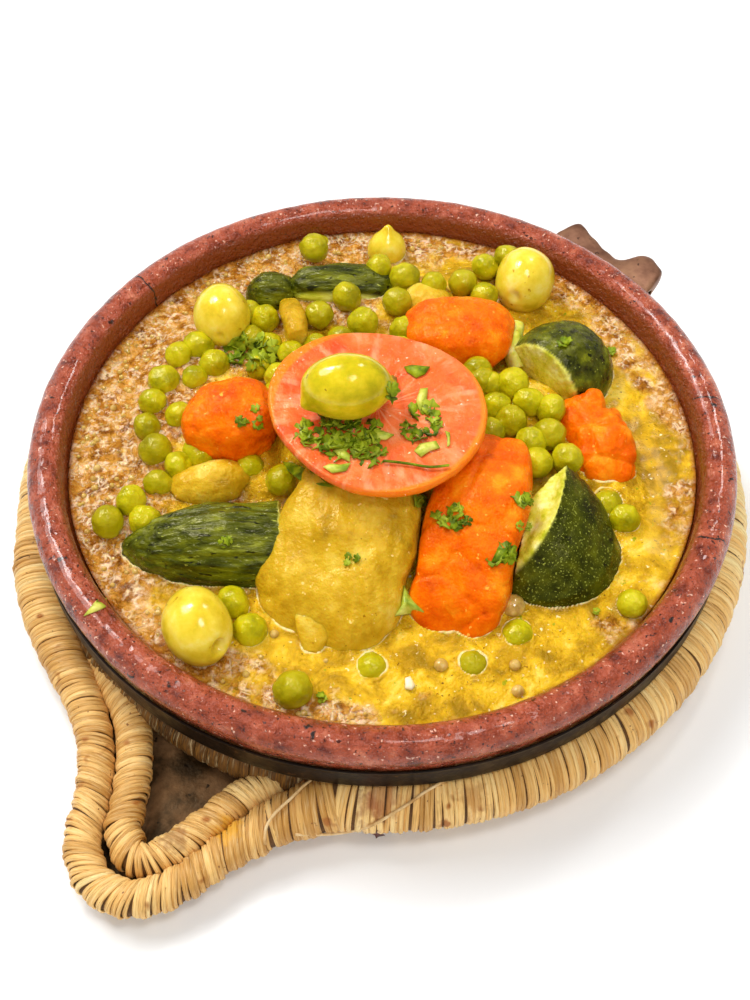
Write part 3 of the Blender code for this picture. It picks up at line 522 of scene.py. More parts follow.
# Oiled hide worn by heat: near black, with brown scuffs and a warm sheen
LEATHER = Finish("worn_dark_leather", ("#140b06", "#30200f", "#6a4c30", "#8a6644"), 13.0,
                 (Speck("#0c0604", 3.0, 0.66),), (0.42, 0.66), ((3.0, 0.5), (0.9, 0.15)), glint="#ffd9a8")
ZUCCHINI_FLESH = ("#b0b41c", "#d0cc3e", "#e0dc6a", "#eeec9a")
# Oily vegetable broth: a bright film over a cloudy body, so it has a coat and takes light in
BROTH = OilyBroth("oily_stew_broth", ("#a07a0c", "#bc9012", "#d4a618", "#e8bc22", "#f4d45a"), 9.0,
                  (Speck("#7a4a06", 0.9, 0.69), Speck("#f8e8b0", 1.6, 0.68), Speck("#a0a010", 3.0, 0.69)),
                  (0.08, 0.2), ((5.0, 1.2), (1.8, 0.9), (0.9, 0.25)), coat=0.06, depth_mm=1.2, ior=1.33,
                  glint="#ffe6a0")
# Potato stewed in yellow broth: waxy and wet, with light a little way under its surface
POTATO = Finish("stewed_potato", ("#a8800a", "#c89c14", "#d8b026", "#e6c852"), 12.0,
                (Speck("#f4d77c", 2.2, 0.69), Speck("#9a6d06", 1.5, 0.72)), (0.2, 0.4),
                ((4.0, 0.8), (1.1, 0.3)), depth_mm=2.5, ior=1.4, glint="#ffedb8")
# Stewed carrot: wet and deep orange, glowing where it is thin
CARROT = Finish("stewed_carrot", ("#d04c00", "#ea6400", "#f47602", "#fc9414"), 8.0, (Speck("#ffb040", 2.0, 0.69),),
                (0.24, 0.42), ((3.0, 0.7), (0.9, 0.25)), depth_mm=1.5, ior=1.38, glint="#ffd98a")
# Zucchini skin keeps its fine pale specks when cooked, and wrinkles along its length where it is thin
ZUCCHINI_DARK = ZucchiniSkin("speckled_zucchini_skin", ("#1c2002", "#303602", "#444804", "#585c08"), 6.0,
                             (Speck("#8a9038", 0.6, 0.61), Speck("#10140a", 2.2, 0.68)), (0.25, 0.45),
                             ((1.6, 0.3), (0.6, 0.12)), ior=1.36, glint="#fff0b0")
ZUCCHINI_WRINKLED = ZucchiniSkin("wrinkled_zucchini_skin", ("#1e2401", "#424804", "#5e6206", "#84881c"), 3.0,
                                 (Speck("#a4aa44", 0.9, 0.68), Speck("#1a1e02", 1.6, 0.64)), (0.14, 0.34),
                                 ((1.6, 0.9), (0.7, 0.25)), grain=(0.3, 1.0, 1.0), ior=1.42, glint="#fff4c8")
ZUCCHINI_STREAKED = ZucchiniSkin("streaked_zucchini_skin", ("#1e2301", "#3e4204", "#565a08", "#7c8014"), 5.0,
                                 (Speck("#b0b444", 1.2, 0.69), Speck("#1c2002", 2.6, 0.64)), (0.16, 0.36),
                                 ((2.2, 0.6), (0.8, 0.2)), ior=1.4, glint="#fff4c8", flesh_mm=6.0)
# Cooked zucchini flesh: pale, soft and almost clear
PALE_FLESH = Finish("zucchini_flesh", ZUCCHINI_FLESH, 4.0, (Speck("#b89010", 1.6, 0.68),), (0.3, 0.5),
                    ((2.4, 0.4),), depth_mm=2.0, ior=1.36)
# Brined olive skin: smooth, taut and yellow green, with sharp highlights
OLIVE = Finish("brined_green_olive", ("#ccb018", "#e4c82c", "#efd644", "#f6e478"), 9.0, (Speck("#c4960a", 2.5, 0.69),),
               (0.12, 0.24), ((3.0, 0.12),), coat=0.2, depth_mm=2.5, ior=1.4)
# The same skin, greener, under a paler light
OLIVE_GREEN = Finish("greener_olive", ("#a89c06", "#c4b40c", "#dcc61a", "#ecd838"), 9.0, (Speck("#a88c0a", 2.5, 0.69),),
                     (0.12, 0.24), ((3.0, 0.12),), coat=0.2, depth_mm=2.5, ior=1.4, glint="#fff4d0")
# Stewed pea: slack wet skin over soft flesh, each its own green
PEA = Finish("stewed_green_pea", ("#96900a", "#b6ac08", "#cabe10", "#d8cc24"), 7.0, (Speck("#e0d248", 1.5, 0.70),),
             (0.1, 0.24), ((2.0, 0.5), (0.8, 0.12)), depth_mm=0.8, ior=1.45, glint="#fff2c0", own="#8c7c04")
# Warmed tomato flesh: wet and grainy, so its highlights break up
TOMATO = TomatoFlesh("warm_tomato_flesh", ("#e24e24", "#ec642c", "#f27436", "#f78c54"), 9.0,
                     (Speck("#fddcc0", 1.6, 0.70),), (0.16, 0.36), ((2.2, 0.35), (0.8, 0.12)),
                     depth_mm=2.0, ior=1.4, glint="#ffe6c0", centre=(-1.5, -6.5), radius=31.8,
                     gel=(((7.0, 14.0), 6.0, "#f26a2c"), ((-10.0, 12.0), 4.0, "#f26a2c"),
                          ((15.0, 8.0), 4.0, "#f26a2c"), ((-14.0, -22.0), 4.5, "#f26a2c")))
# Parsley leaf, chopped: thin and satin, from deep to yellow green
PARSLEY = Finish("fresh_parsley_leaf", ("#2e4202", "#506804", "#7c9008", "#a0ac1c"), 4.0, (), (0.3, 0.5),
                 ((0.8, 0.1),), ior=1.38, glint="#fff4c0", own="#a8b428")
# Older parsley leaf: the same, gone pale in the steam
PALE_LEAF = Finish("pale_parsley_leaf", ("#7c9420", "#a0ae2c", "#c4c848", "#dcd468"), 4.0, (), (0.3, 0.5),
                   ((0.8, 0.1),), ior=1.38)
# Dry straw: pale and dull
STRAW = Finish("loose_straw", ("#b98a4c", "#dcb67c", "#ecd2a2"), 4.0, (), (0.5, 0.7), ((0.8, 0.05),))
# Dried tomato skin: dark red and dull
DARK_SCRAP = Finish("dried_tomato_scrap", ("#3a0a06", "#6b1410"), 2.0, (), (0.4, 0.6), ((0.8, 0.1),))
# Film of oily broth blown up by a simmer: a bright point on each bubble
BUBBLE = Finish("broth_bubble", ("#b08840", "#cca850", "#e0c078"), 2.0, (), (0.04, 0.08), (), coat=0.6, depth_mm=1.0)
# Crumb of boiled potato: white and soft
CURD = Finish("pale_crumb", ("#f0dca0", "#fbf2d0"), 2.0, (), (0.3, 0.5), ((1.0, 0.1),))
# Painted board: pale and matt, so the eye stays on the dish
FLOOR = Finish("pale_floor", ("#f6f7f8", "#f8f9fa"), 200.0, (), (0.6, 0.7), ())


@functools.cache
def material(finish: Finish) -> bpy.types.Material:
    """The material of a finish, made at its first use."""
    return finish.build()


def dress(piece: Thing, finish: Finish) -> Thing:
    """Gives a piece one finish and smooth faces."""
    piece.data.materials.clear()
    piece.data.materials.append(material(finish))
    piece.data.shade_smooth()
    return piece


def declare(piece: Thing, slot: Slot, *nodes: str) -> None:
    """Ties a piece to the model.

    Args:
        piece: The finished piece.
        slot: The record's slot that its finish belongs to. Not used.
        *nodes: The CAD nodes that it stands for.
    """
    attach(piece, BODY)
    if nodes:
        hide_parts(*nodes)
    log.info("%s: %d faces", piece.name, len(piece.data.polygons))


def linked(name: str, data: bpy.types.ID) -> Thing:
    """Makes an object of some data and links it to the scene."""
    obj = bpy.data.objects.new(name, data)
    bpy.context.scene.collection.objects.link(obj)
    return obj


def piece_from(name: str, points: np.ndarray | Sequence[Sequence[float]], faces: Sequence[Sequence[int]]) -> Thing:
    """Makes an object from points in millimetres.

    Args:
        name: The object's name.
        points: Its points.
        faces: Its faces, as numbers of points.

    Returns:
        The object, linked to the scene, its faces pointing out.
    """
    mesh = bpy.data.meshes.new(name)
    mesh.from_pydata((np.asarray(points, dtype=float) * MM).tolist(), [], [list(f) for f in faces])
    shape = bmesh.new()
    shape.from_mesh(mesh)
    bmesh.ops.recalc_face_normals(shape, faces=shape.faces)
    shape.to_mesh(mesh)
    shape.free()
    return linked(name, mesh)


def ball(name: str, subdivisions: int, shaped: Callable[[Vector], Vector] | None = None) -> Thing:
    """Makes a ball of unit radius.

    Args:
        name: The object's name.
        subdivisions: How fine it is.
        shaped: A function that gives each point's place from its direction.

    Returns:
        The ball.
    """
    mesh = bpy.data.meshes.new(name)
    sphere = bmesh.new()
    bmesh.ops.create_icosphere(sphere, subdivisions=subdivisions, radius=1.0)
    for vert in sphere.verts if shaped else ():
        vert.co = shaped(vert.co.normalized())
    sphere.to_mesh(mesh)
    sphere.free()
    return linked(name, mesh)


def circle(radius: float, height: float, steps: int) -> np.ndarray:
    """Points round the dish's axis."""
    angles = np.linspace(0, math.tau, steps, endpoint=False)
    return np.stack([radius * np.cos(angles), radius * np.sin(angles), np.full(steps, height)], 1)


def loft_faces(rows: int, columns: int, ring: bool = False, first: int = 0) -> list[tuple[int, ...]]:
    """Quads between rows of points that each close on themselves.

    Args:
        rows: The number of rows.
        columns: Points in each row.
        ring: Whether the last row joins the first.
        first: The first point's number.

    Returns:
        The faces.
    """
    faces = []
    for i in range(rows if ring else rows - 1):
        for j in range(columns):
            a, b = i * columns, (i + 1) % rows * columns
            k = (j + 1) % columns
            faces.append((first + a + j, first + a + k, first + b + k, first + b + j))
    return faces


def capped_faces(rows: int, columns: int) -> list[tuple[int, ...]]:
    """The same quads, and fans from the first and the last row to one further point each."""
    end, last = rows * columns, (rows - 1) * columns
    faces = loft_faces(rows, columns)
    for j in range(columns):
        k = (j + 1) % columns
        faces += [(end, k, j), (end + 1, last + j, last + k)]
    return faces


def squared(angle: float, power: float) -> Flat:
    """The cosine and sine of an angle, each to a power that squares the circle off."""
    c, s = math.cos(angle), math.sin(angle)
    return math.copysign(abs(c) ** power, c), math.copysign(abs(s) ** power, s)


def through(points: Sequence[Sequence[float]], per_span: int) -> list[Vector]:
    """Points along a smooth curve through the given ones.

    Args:
        points: The known points, of any number of values.
        per_span: Steps between two of them.

    Returns:
        The curve's points, as vectors.
    """
    known = [np.asarray(p, dtype=float) for p in points]
    padded = [2 * known[0] - known[1]] + known + [2 * known[-1] - known[-2]]
    curve = []
    for a, b, c, d in zip(padded, padded[1:], padded[2:], padded[3:]):
        for i in range(per_span):
            t = i / per_span
            curve.append(0.5 * (2 * b + (c - a) * t + (2 * a - 5 * b + 4 * c - d) * t * t
                                + (3 * b - a - 3 * c + d) * t ** 3))
    return curve + [known[-1]]


def fresh_from(obj: Thing, name: str) -> Thing:
    """Replaces an object by a plain mesh of its evaluated shape.

    Args:
        obj: The object, with live modifiers.
        name: The new object's name.

    Returns:
        The new object. The old one is gone.
    """
    bpy.context.view_layer.update()
    seen = obj.evaluated_get(bpy.context.evaluated_depsgraph_get())
    mesh = bpy.data.meshes.new_from_object(seen)
    bpy.data.objects.remove(obj)
    mesh.name = name
    return linked(name, mesh)


@dataclass(frozen=True)
class Wave:
    """One layer of unevenness pressed into a mesh.

    Attributes:
        size: Its size in millimetres, or its size along each axis.
        height: How far it moves the surface at most, about.
        seed: Shifts its pattern.
    """
    size: Point | float
    height: float
    seed: float = 0.0


def surface(mesh: bpy.types.Mesh) -> tuple[np.ndarray, np.ndarray]:
    """A mesh's points in millimetres, and their normals."""
    points, normals = np.empty(len(mesh.vertices) * 3), np.empty(len(mesh.vertices) * 3)
    mesh.vertices.foreach_get("co", points)
    mesh.vertices.foreach_get("normal", normals)
    return points.reshape(-1, 3) / MM, normals.reshape(-1, 3)


def wavering(points: np.ndarray) -> np.ndarray:
    """Smooth noise at each point."""
    return np.array([noise.noise(p) for p in points.tolist()])


def rippled(obj: Thing, waves: Sequence[Wave],
            also: Callable[[np.ndarray, np.ndarray], np.ndarray] | None = None) -> Thing:
    """Moves a mesh's points along their normals by noise.

    Args:
        obj: The object.
        waves: The layers of noise.
        also: A function of the points and normals that gives a further move in millimetres.

    Returns:
        The same object.
    """
    mesh = obj.data
    points, normals = surface(mesh)
    move = np.zeros(len(points))
    for wave in waves:
        move += wave.height * wavering(points / np.array(wave.size) + wave.seed)
    if also:
        move += also(points, normals)
    mesh.vertices.foreach_set("co", ((points + normals * move[:, None]) * MM).ravel())
    mesh.update()
    return obj


def remeshed(obj: Thing, voxel: float, passes: int) -> Thing:
    """Rebuilds a closed mesh in even small faces and softens it.

    Args:
        obj: The object.
        voxel: The faces' size in millimetres.
        passes: Rounds of smoothing.

    Returns:
        The new object, under the same name.
    """
    name = obj.name
    obj.name = name + "_rough"
    even = obj.modifiers.new("even", "REMESH")
    even.mode, even.voxel_size = "VOXEL", voxel * MM
    soft = obj.modifiers.new("soft", "SMOOTH")
    soft.factor, soft.iterations = 0.5, passes
    return fresh_from(obj, name)


def node_copy(node: str, voxel: float, passes: int, sink: float = 1.6) -> Thing:
    """Makes an even, softened copy of a CAD node, let down a little into the broth.

    Args:
        node: The CAD node.
        voxel: The faces' size.
        passes: Rounds of smoothing.
        sink: How far its cut underside goes down.

    Returns:
        The copy.
    """
    shape = bmesh.new()
    shape.from_mesh(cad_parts[node].data)
    bmesh.ops.remove_doubles(shape, verts=shape.verts, dist=1e-6)
    for vert in shape.verts:
        if vert.co.z < (SAUCE_LEVEL + 0.6) * MM:
            vert.co.z -= sink * MM
    mesh = bpy.data.meshes.new(node + "_look")
    shape.to_mesh(mesh)
    shape.free()
    return remeshed(linked(node + "_look", mesh), voxel, passes)


def smoothstep(value: np.ndarray, low: float, high: float) -> np.ndarray:
    """A soft step from 0 at low to 1 at high."""
    t = np.clip((value - low) / (high - low), 0.0, 1.0)
    return t * t * (3 - 2 * t)


def mark(obj: Thing, name: str, rule: Callable[[np.ndarray, np.ndarray], np.ndarray]) -> None:
    """Stores a number on each point of a mesh.

    Args:
        obj: The object.
        name: The attribute's name.
        rule: A function of the points in millimetres and their normals that gives the numbers.
    """
    values = rule(*surface(obj.data)).astype(np.float32)
    obj.data.attributes.new(name, "FLOAT", "POINT").data.foreach_set("value", values)


@dataclass(frozen=True)
class Place:
    """Where one copy of a repeated shape goes.

    Attributes:
        point: Its place in millimetres.
        turn: Its turn, as XYZ Euler angles.
        size: Its scale along its own axes, in millimetres.
        tint: Its own number from 0 to 1, for colour.
    """
    point: Sequence[float]
    turn: Sequence[float]
    size: Point
    tint: float = 0.5


@dataclass(frozen=True)
class Scatter:
    """Geometry Nodes that set copies of one shape on points, each tilted a little at random.

    Attributes:
        name: The tree's name.
        tilt_deg: The greatest extra turn about each axis.
        seed: Seed of the extra turns.
    """
    name: str
    tilt_deg: float = 0.0
    seed: int = 1

    def tree(self) -> Tree:
        """Builds the tree, with its sizes, seed, shape and material as named inputs."""
        tree = bpy.data.node_groups.new(self.name, "GeometryNodeTree")
        for title, kind in (("Points", "Geometry"), ("Shape", "Object"), ("Tilt", "Float"), ("Seed", "Int"),
                            ("Finish", "Material")):
            tree.interface.new_socket(title, in_out="INPUT", socket_type="NodeSocket" + kind)
        tree.interface.new_socket("Pieces", in_out="OUTPUT", socket_type="NodeSocketGeometry")
        given = add(tree, "NodeGroupInput").outputs
        shape = add(tree, "GeometryNodeObjectInfo", {"Object": given["Shape"]}).outputs["Geometry"]
        turn = add(tree, "GeometryNodeInputNamedAttribute", {"Name": "turn"}, data_type="FLOAT_VECTOR").outputs[0]
        turn = add(tree, "FunctionNodeEulerToRotation", {0: turn}).outputs[0]
        size = add(tree, "GeometryNodeInputNamedAttribute", {"Name": "size"}, data_type="FLOAT_VECTOR").outputs[0]
        least = add(tree, "ShaderNodeMath", {0: given["Tilt"], 1: -1.0}, operation="MULTIPLY").outputs[0]
        shake = add(tree, "FunctionNodeRandomValue", {"Min": least, "Max": given["Tilt"], "Seed": given["Seed"]},
                    data_type="FLOAT_VECTOR").outputs[0]
        shake = add(tree, "FunctionNodeEulerToRotation", {0: shake}).outputs[0]
        turn = add(tree, "FunctionNodeRotateRotation", {0: turn, 1: shake}, rotation_space="LOCAL").outputs[0]
        copies = add(tree, "GeometryNodeInstanceOnPoints", {"Points": given["Points"], "Instance": shape,
                                                            "Rotation": turn, "Scale": size}).outputs[0]
        real = add(tree, "GeometryNodeRealizeInstances", {0: copies}).outputs[0]
        worn = add(tree, "GeometryNodeSetMaterial", {"Geometry": real, "Material": given["Finish"]}).outputs[0]
        add(tree, "NodeGroupOutput", {0: worn})
        return tree

    def laid(self, name: str, shape: Thing, places: Sequence[Place], material: bpy.types.Material) -> Thing:
        """Sets copies of a shape and makes them one plain mesh.

        Args:
            name: The piece's name.
            shape: The shape, of about unit size. It is removed.
            places: Where the copies go.
            material: Their material.

        Returns:
            The piece.
        """
        mesh = bpy.data.meshes.new(name)
        mesh.from_pydata([tuple(c * MM for c in p.point) for p in places], [], [])
        for key, values in (("turn", [c for p in places for c in p.turn]),
                            ("size", [c * MM for p in places for c in p.size])):
            mesh.attributes.new(key, "FLOAT_VECTOR", "POINT").data.foreach_set("vector", values)
        mesh.attributes.new("tint", "FLOAT", "POINT").data.foreach_set("value", [p.tint for p in places])
        points = linked(name + "_points", mesh)
        tree = self.tree()
        modifier = points.modifiers.new(self.name, "NODES")
        modifier.node_group = tree
        values = {"Shape": shape, "Tilt": math.radians(self.tilt_deg), "Seed": self.seed, "Finish": material}
        for item in tree.interface.items_tree:
            if item.name in values:
                modifier[item.identifier] = values[item.name]
        result = fresh_from(points, name)
        bpy.data.objects.remove(shape)
        for key in ("turn", "size"):
            if key in result.data.attributes:
                result.data.attributes.remove(result.data.attributes[key])
        result.data.shade_smooth()
        return result


@dataclass(frozen=True)
class PhotoCamera:
    """The camera that took the photograph, found from the rim's outline and the trivet's.

    Attributes:
        place: Where it stood, in millimetres.
        pitch_deg: How far it looks down.
        yaw_deg: Its turn to the left.
        roll_deg: Its tilt.
        focal_px: Its focal length in pixels of the photograph.
        frame_px: The photograph's size in pixels.
    """
    place: Point = (0.0, -254.0, 355.5)
    pitch_deg: float = 54.15
    yaw_deg: float = 0.5
    roll_deg: float = 0.13
    focal_px: float = 1300.0
    frame_px: tuple[int, int] = (750, 1000)

    def axes(self) -> tuple[Vector, Vector, Vector]:
        """Its right, up and forward directions."""
        pitch = math.radians(self.pitch_deg)
        turn = Matrix.Rotation(math.radians(self.yaw_deg), 3, "Z")
        forward = turn @ Vector((0, math.cos(pitch), -math.sin(pitch)))
        up = turn @ Vector((0, math.sin(pitch), math.cos(pitch)))
        right = turn @ Vector((1, 0, 0))
        roll = math.radians(self.roll_deg)
        return (math.cos(roll) * right + math.sin(roll) * up, -math.sin(roll) * right + math.cos(roll) * up, forward)

    def seen_at(self, px: float, py: float, height: float) -> Vector:
        """The point at a height that a pixel shows.

        Args:
            px: The pixel from the left.
            py: The pixel from the top.
            height: The height above the table, in millimetres.

        Returns:
            The point, in millimetres.
        """
        right, up, forward = self.axes()
        ray = (forward * self.focal_px + right * (px - self.frame_px[0] / 2) + up * (self.frame_px[1] / 2 - py))
        start = Vector(self.place)
        return start + ray * ((height - start.z) / ray.z)

    def build(self) -> None:
        """Makes the scene's camera."""
        right, up, forward = self.axes()
        data = bpy.data.cameras.new("photo_camera")
        data.sensor_fit = "VERTICAL"
        data.sensor_height = 36.0
        data.lens = data.sensor_height * self.focal_px / self.frame_px[1]
        data.clip_end = 10.0
        camera = linked("photo_camera", data)
        turn = Matrix((right, up, -forward)).transposed().to_4x4()
        camera.matrix_world = Matrix.Translation(Vector(self.place) * MM) @ turn
        bpy.context.scene.camera = camera


class Ground:
    """What the photograph's camera sees of finished pieces."""

    def __init__(self, camera: PhotoCamera, pieces: Sequence[Thing]) -> None:
        """Readies the pieces.

        Args:
            camera: The camera.
            pieces: The pieces that things may lie on.
        """
        depsgraph = bpy.context.evaluated_depsgraph_get()
        self.camera = camera
        self.trees = [BVHTree.FromObject(piece, depsgraph) for piece in pieces]

    def under(self, px: float, py: float, height: float) -> tuple[Vector, Vector]:
        """What a pixel shows.

        Args:
            px: The pixel from the left.
            py: The pixel from the top.
            height: The height to take where it shows none of the pieces.

        Returns:
            The point in millimetres, and the surface's direction there.
        """
        eye = Vector(self.camera.place)
        aim = self.camera.seen_at(px, py, height)
        hits = [tree.ray_cast(eye * MM, (aim - eye).normalized()) for tree in self.trees]
        hits = [hit for hit in hits if hit[0] is not None]
        if not hits:
            return aim, Vector((0, 0, 1))
        point, normal, _, _ = min(hits, key=lambda hit: hit[3])
        return point / MM, normal if normal.z > 0 else -normal


@dataclass
class ClayDish:
    """The shallow clay bowl with its rolled rim.

    Attributes:
        rim_centre: Radius of the rolled rim's middle.
        rim_height: Height of the rolled rim's middle.
        rim_tube: The rolled rim's own radius.
        inside: Radius and height along the inside, from the middle out.
        outside: Radius and height along the outside, from the rim down.
        steps: Points round the dish.
    """
    rim_centre: float = 104.3
    rim_height: float = 36.5
    rim_tube: float = 5.6
    inside: tuple[Flat, ...] = ((70.0, 9.5), (86.0, 14.0), (94.0, 24.0), (97.4, 30.0), (98.6, 33.5))
    outside: tuple[Flat, ...] = ((108.2, 31.5), (108.2, 22.5), (103.0, 21.9), (97.0, 19.6), (92.0, 14.0), (86.0, 6.6),
                                 (78.0, 2.6))
    steps: int = 640

    def profile(self) -> list[Flat]:
        """The section's points, from the middle of the inside round the rim to the foot."""
        rim = []
        for degrees in range(172, -49, -6):
            angle = math.radians(degrees)
            rim.append((self.rim_centre + self.rim_tube * math.cos(angle),
                        self.rim_height + self.rim_tube * math.sin(angle)))
        inner = [tuple(p) for p in through(self.inside, 3)]
        return inner + rim + list(self.outside)

    def build(self) -> Thing:
        """Makes the dish, with pits and hollows left by the maker's hands.

        Returns:
            The dish.
        """
        profile = self.profile()
        rows = [circle(r, z, self.steps) for r, z in profile]
        rows.append(np.array([[0.0, 0.0, self.inside[0][1] - 1.0], [0.0, 0.0, self.outside[-1][1]]]))
        dish = piece_from("clay_dish", np.concatenate(rows), capped_faces(len(profile), self.steps))

        def pits(points: np.ndarray, normals: np.ndarray) -> np.ndarray:
            """The move at each point for the rim's pits."""
            rim = smoothstep(points[:, 2], 31.5, 33.5)
            spots = wavering(points / 1.9)
            near = smoothstep(-points[:, 1], -60.0, 40.0)
            return -0.45 * rim * smoothstep(spots, 0.32, 0.6) * (0.35 + 0.65 * near) - 0.15 * rim

        rippled(dish, (Wave(24.0, 0.25), Wave(5.0, 0.16, 3.0)), pits)
        declare(dress(dish, CLAY), Slot.CLAY, "dish")
        return dish


@dataclass
class SheetHoop:
    """The sheet-metal strap under the rim, and the folded tab where its ends meet.

    Attributes:
        inside: The strap's inner radius.
        outside: The strap's outer radius.
        bottom: The strap's lower edge.
        top: The strap's upper edge.
        tab_angle: Direction of the tab in degrees.
        tab_inner: Radius where the tab starts.
        tab_height: Height of the tab's middle.
        tab_sections: Offset along the tab, its reach from the axis and its half height.
        wall: The sheet's thickness.
        steps: Points round the strap.
    """
    inside: float = 108.75
    outside: float = 109.45
    bottom: float = 21.4
    top: float = 30.2
    tab_angle: float = 47.8
    tab_inner: float = 109.9
    tab_height: float = 29.0
    tab_sections: tuple[Point, ...] = (
        (-20.5, 117.5, 2.2), (-18.5, 126.0, 2.9), (-14.0, 128.8, 3.2), (-8.5, 129.3, 3.0), (-4.5, 122.5, 2.2),
        (1.0, 121.8, 1.7), (9.0, 124.0, 2.0), (15.5, 126.2, 2.6), (19.0, 126.6, 2.6), (21.0, 119.0, 2.0))
    wall: float = 0.8
    steps: int = 360

    def strap(self) -> None:
        """Makes the strap, with a bright rolled upper edge and shallow dents."""
        profile = [(self.inside, self.top - 0.2), (self.inside + 0.2, self.top), (self.outside, self.top - 0.1),
                   (self.outside, self.top - 0.7), (self.outside - 0.3, self.top - 1.3), (self.outside - 0.3, 28.0),
                   (self.outside - 0.15, 26.0), (self.outside - 0.2, 24.0), (self.outside - 0.05, 22.2),
                   (self.outside - 0.2, self.bottom), (self.inside, self.bottom + 0.1)]
        rows = [circle(r, z, self.steps) for r, z in profile]
        hoop = piece_from("sheet_hoop", np.concatenate(rows), loft_faces(len(profile), self.steps, ring=True))
        rippled(hoop, (Wave((9.0, 9.0, 6.0), 0.12),))
        declare(dress(hoop, HOOP_SHEET), Slot.METAL, "metal_hoop")

    def tab(self) -> None:
        """Makes the tab: sheet folded back on itself, pinched at its middle."""
        sides = 40
        outward = Vector((math.cos(math.radians(self.tab_angle)), math.sin(math.radians(self.tab_angle)), 0))
        along = Vector((-outward.y, outward.x, 0))
        sections = through(self.tab_sections, 6)
        walls = []
        for inset in (0.0, self.wall):
            rows = []
            for offset, reach, half in sections:
                inner = math.sqrt(self.tab_inner ** 2 + offset ** 2) + self.wall
                middle, width = (inner + reach) / 2, (reach - inner) / 2 - inset
                for i in range(sides):
                    c, s = squared(math.tau * i / sides, 0.7)
                    crease = 0.35 * math.sin(offset * 0.9) * (1 - s * s)
                    rows.append(outward * (middle + width * c) + along * offset
                                + Vector((0, 0, self.tab_height + max(half - inset, 0.2) * s + crease)))
            walls.append(rows)
        count = len(sections)
        faces = loft_faces(count, sides) + loft_faces(count, sides, first=count * sides)
        for row in (0, count - 1):
            for i in range(sides):
                j = (i + 1) % sides
                a, b = row * sides, (count + row) * sides
                faces.append((a + i, a + j, b + j, b + i))
        tab = piece_from("folded_tab", walls[0] + walls[1], faces)
        declare(dress(tab, TAB_SHEET), Slot.METAL, "hoop_tab")

    def build(self) -> None:
        """Makes the strap and the tab."""
        self.strap()
        self.tab()


@dataclass
class Coil:
    """One coil of the trivet: a path, and strips wound round it.

    Attributes:
        name: The piece's name.
        path: Points and radius along it.
        closed: Whether it joins up.
        lean_deg: How far the strips slant round the dish.
        handle_lean_deg: How far they slant on the handle.
        handle_from: Distance from the dish's axis past which a coil belongs to the handle.
        strip: Least and greatest width of a strip.
        handle_strip: The same on the handle.
        bundle: Strips in a bundle.
        finish: The strips' finish.
    """
    name: str
    path: list[np.ndarray]
    closed: bool = False
    lean_deg: float = 8.0
    handle_lean_deg: float = 24.0
    handle_from: float = 119.0
    strip: Flat = (1.0, 2.1)
    handle_strip: Flat = (0.9, 1.9)
    bundle: tuple[int, int] = (3, 6)
    finish: Finish = PALM

    def even(self, pitch: float) -> list[tuple[Vector, Vector, float]]:
        """Places, headings and radii at an even pitch along the path."""
        points = [Vector(p[:3]) for p in self.path]
        radii = [float(p[3]) for p in self.path]
        if self.closed:
            points.append(points[0])
            radii.append(radii[0])
        result, carried = [], 0.0
        for a, b, ra, rb in zip(points, points[1:], radii, radii[1:]):
            span = (b - a).length
            while carried < span:
                t = carried / span
                result.append((a.lerp(b, t), (b - a).normalized(), ra + (rb - ra) * t))
                carried += pitch
            carried -= span
        return result

    def tube(self, name: str, finish: Finish, step: float, inset: float = 0.0, sides: int = 20) -> Thing:
        """A plain round tube along the path.

        Args:
            name: The piece's name.
            finish: Its finish.
            step: Distance between its rings.
            inset: How much thinner it is than the path's radius.
            sides: Points round it.

        Returns:
            The tube.
        """
        stations = self.even(step)
        points = []
        for centre, heading, radius in stations:
            across = heading.cross(Vector((0, 0, 1))).normalized()
            up = across.cross(heading)
            for i in range(sides):
                angle = math.tau * i / sides
                points.append(centre + (across * math.cos(angle) + up * math.sin(angle)) * (radius - inset))
        faces = loft_faces(len(stations), sides, ring=self.closed)
        if not self.closed:
            faces += [tuple(range(sides)), tuple(range(len(points) - sides, len(points)))]
        return dress(piece_from(name, points, faces), finish)

    def strips(self, draw: random.Random) -> list[Place]:
        """Where each strip goes round the coil, in bundles of a few strips."""
        fine = self.even(0.1)
        places, at, tint_walk = [], 0.0, 0.5
        while int(at * 10) < len(fine) - 4:
            count = draw.randint(*self.bundle)
            on_handle = float(smoothstep(np.array(fine[int(at * 10)][0].xy.length), self.handle_from - 9.0,
                                         self.handle_from + 9.0))
            lean = self.lean_deg + (self.handle_lean_deg - self.lean_deg) * on_handle + draw.uniform(-3, 3)
            bulge = 0.05 + 0.1 * on_handle
            widths = [draw.uniform(*(self.handle_strip if on_handle > 0.5 else self.strip)) for _ in range(count)]
            tint_walk = min(max(tint_walk + draw.uniform(-0.3, 0.3), 0.15), 0.9)
            for i, width in enumerate(widths):
                index = int((at + width / 2) * 10)
                if index >= len(fine):
                    break
                centre, heading, radius = fine[index]
                u = (2 * i + 1) / count - 1
                reach = radius * (1.0 - bulge * u * u) * draw.uniform(0.98, 1.0)
                frame_turn = heading.to_track_quat("Z", "Y")
                slant = Matrix.Rotation(math.radians(lean), 3, "Z").to_quaternion()
                turn = (slant @ frame_turn).to_euler()
                places.append(Place(centre, turn, (reach / math.cos(math.radians(lean)), reach, width * 1.12),
                                    min(max(tint_walk + draw.uniform(-0.3, 0.3), 0.0), 1.0)))
                at += width
            at += draw.uniform(0.05, 0.4)
        return places


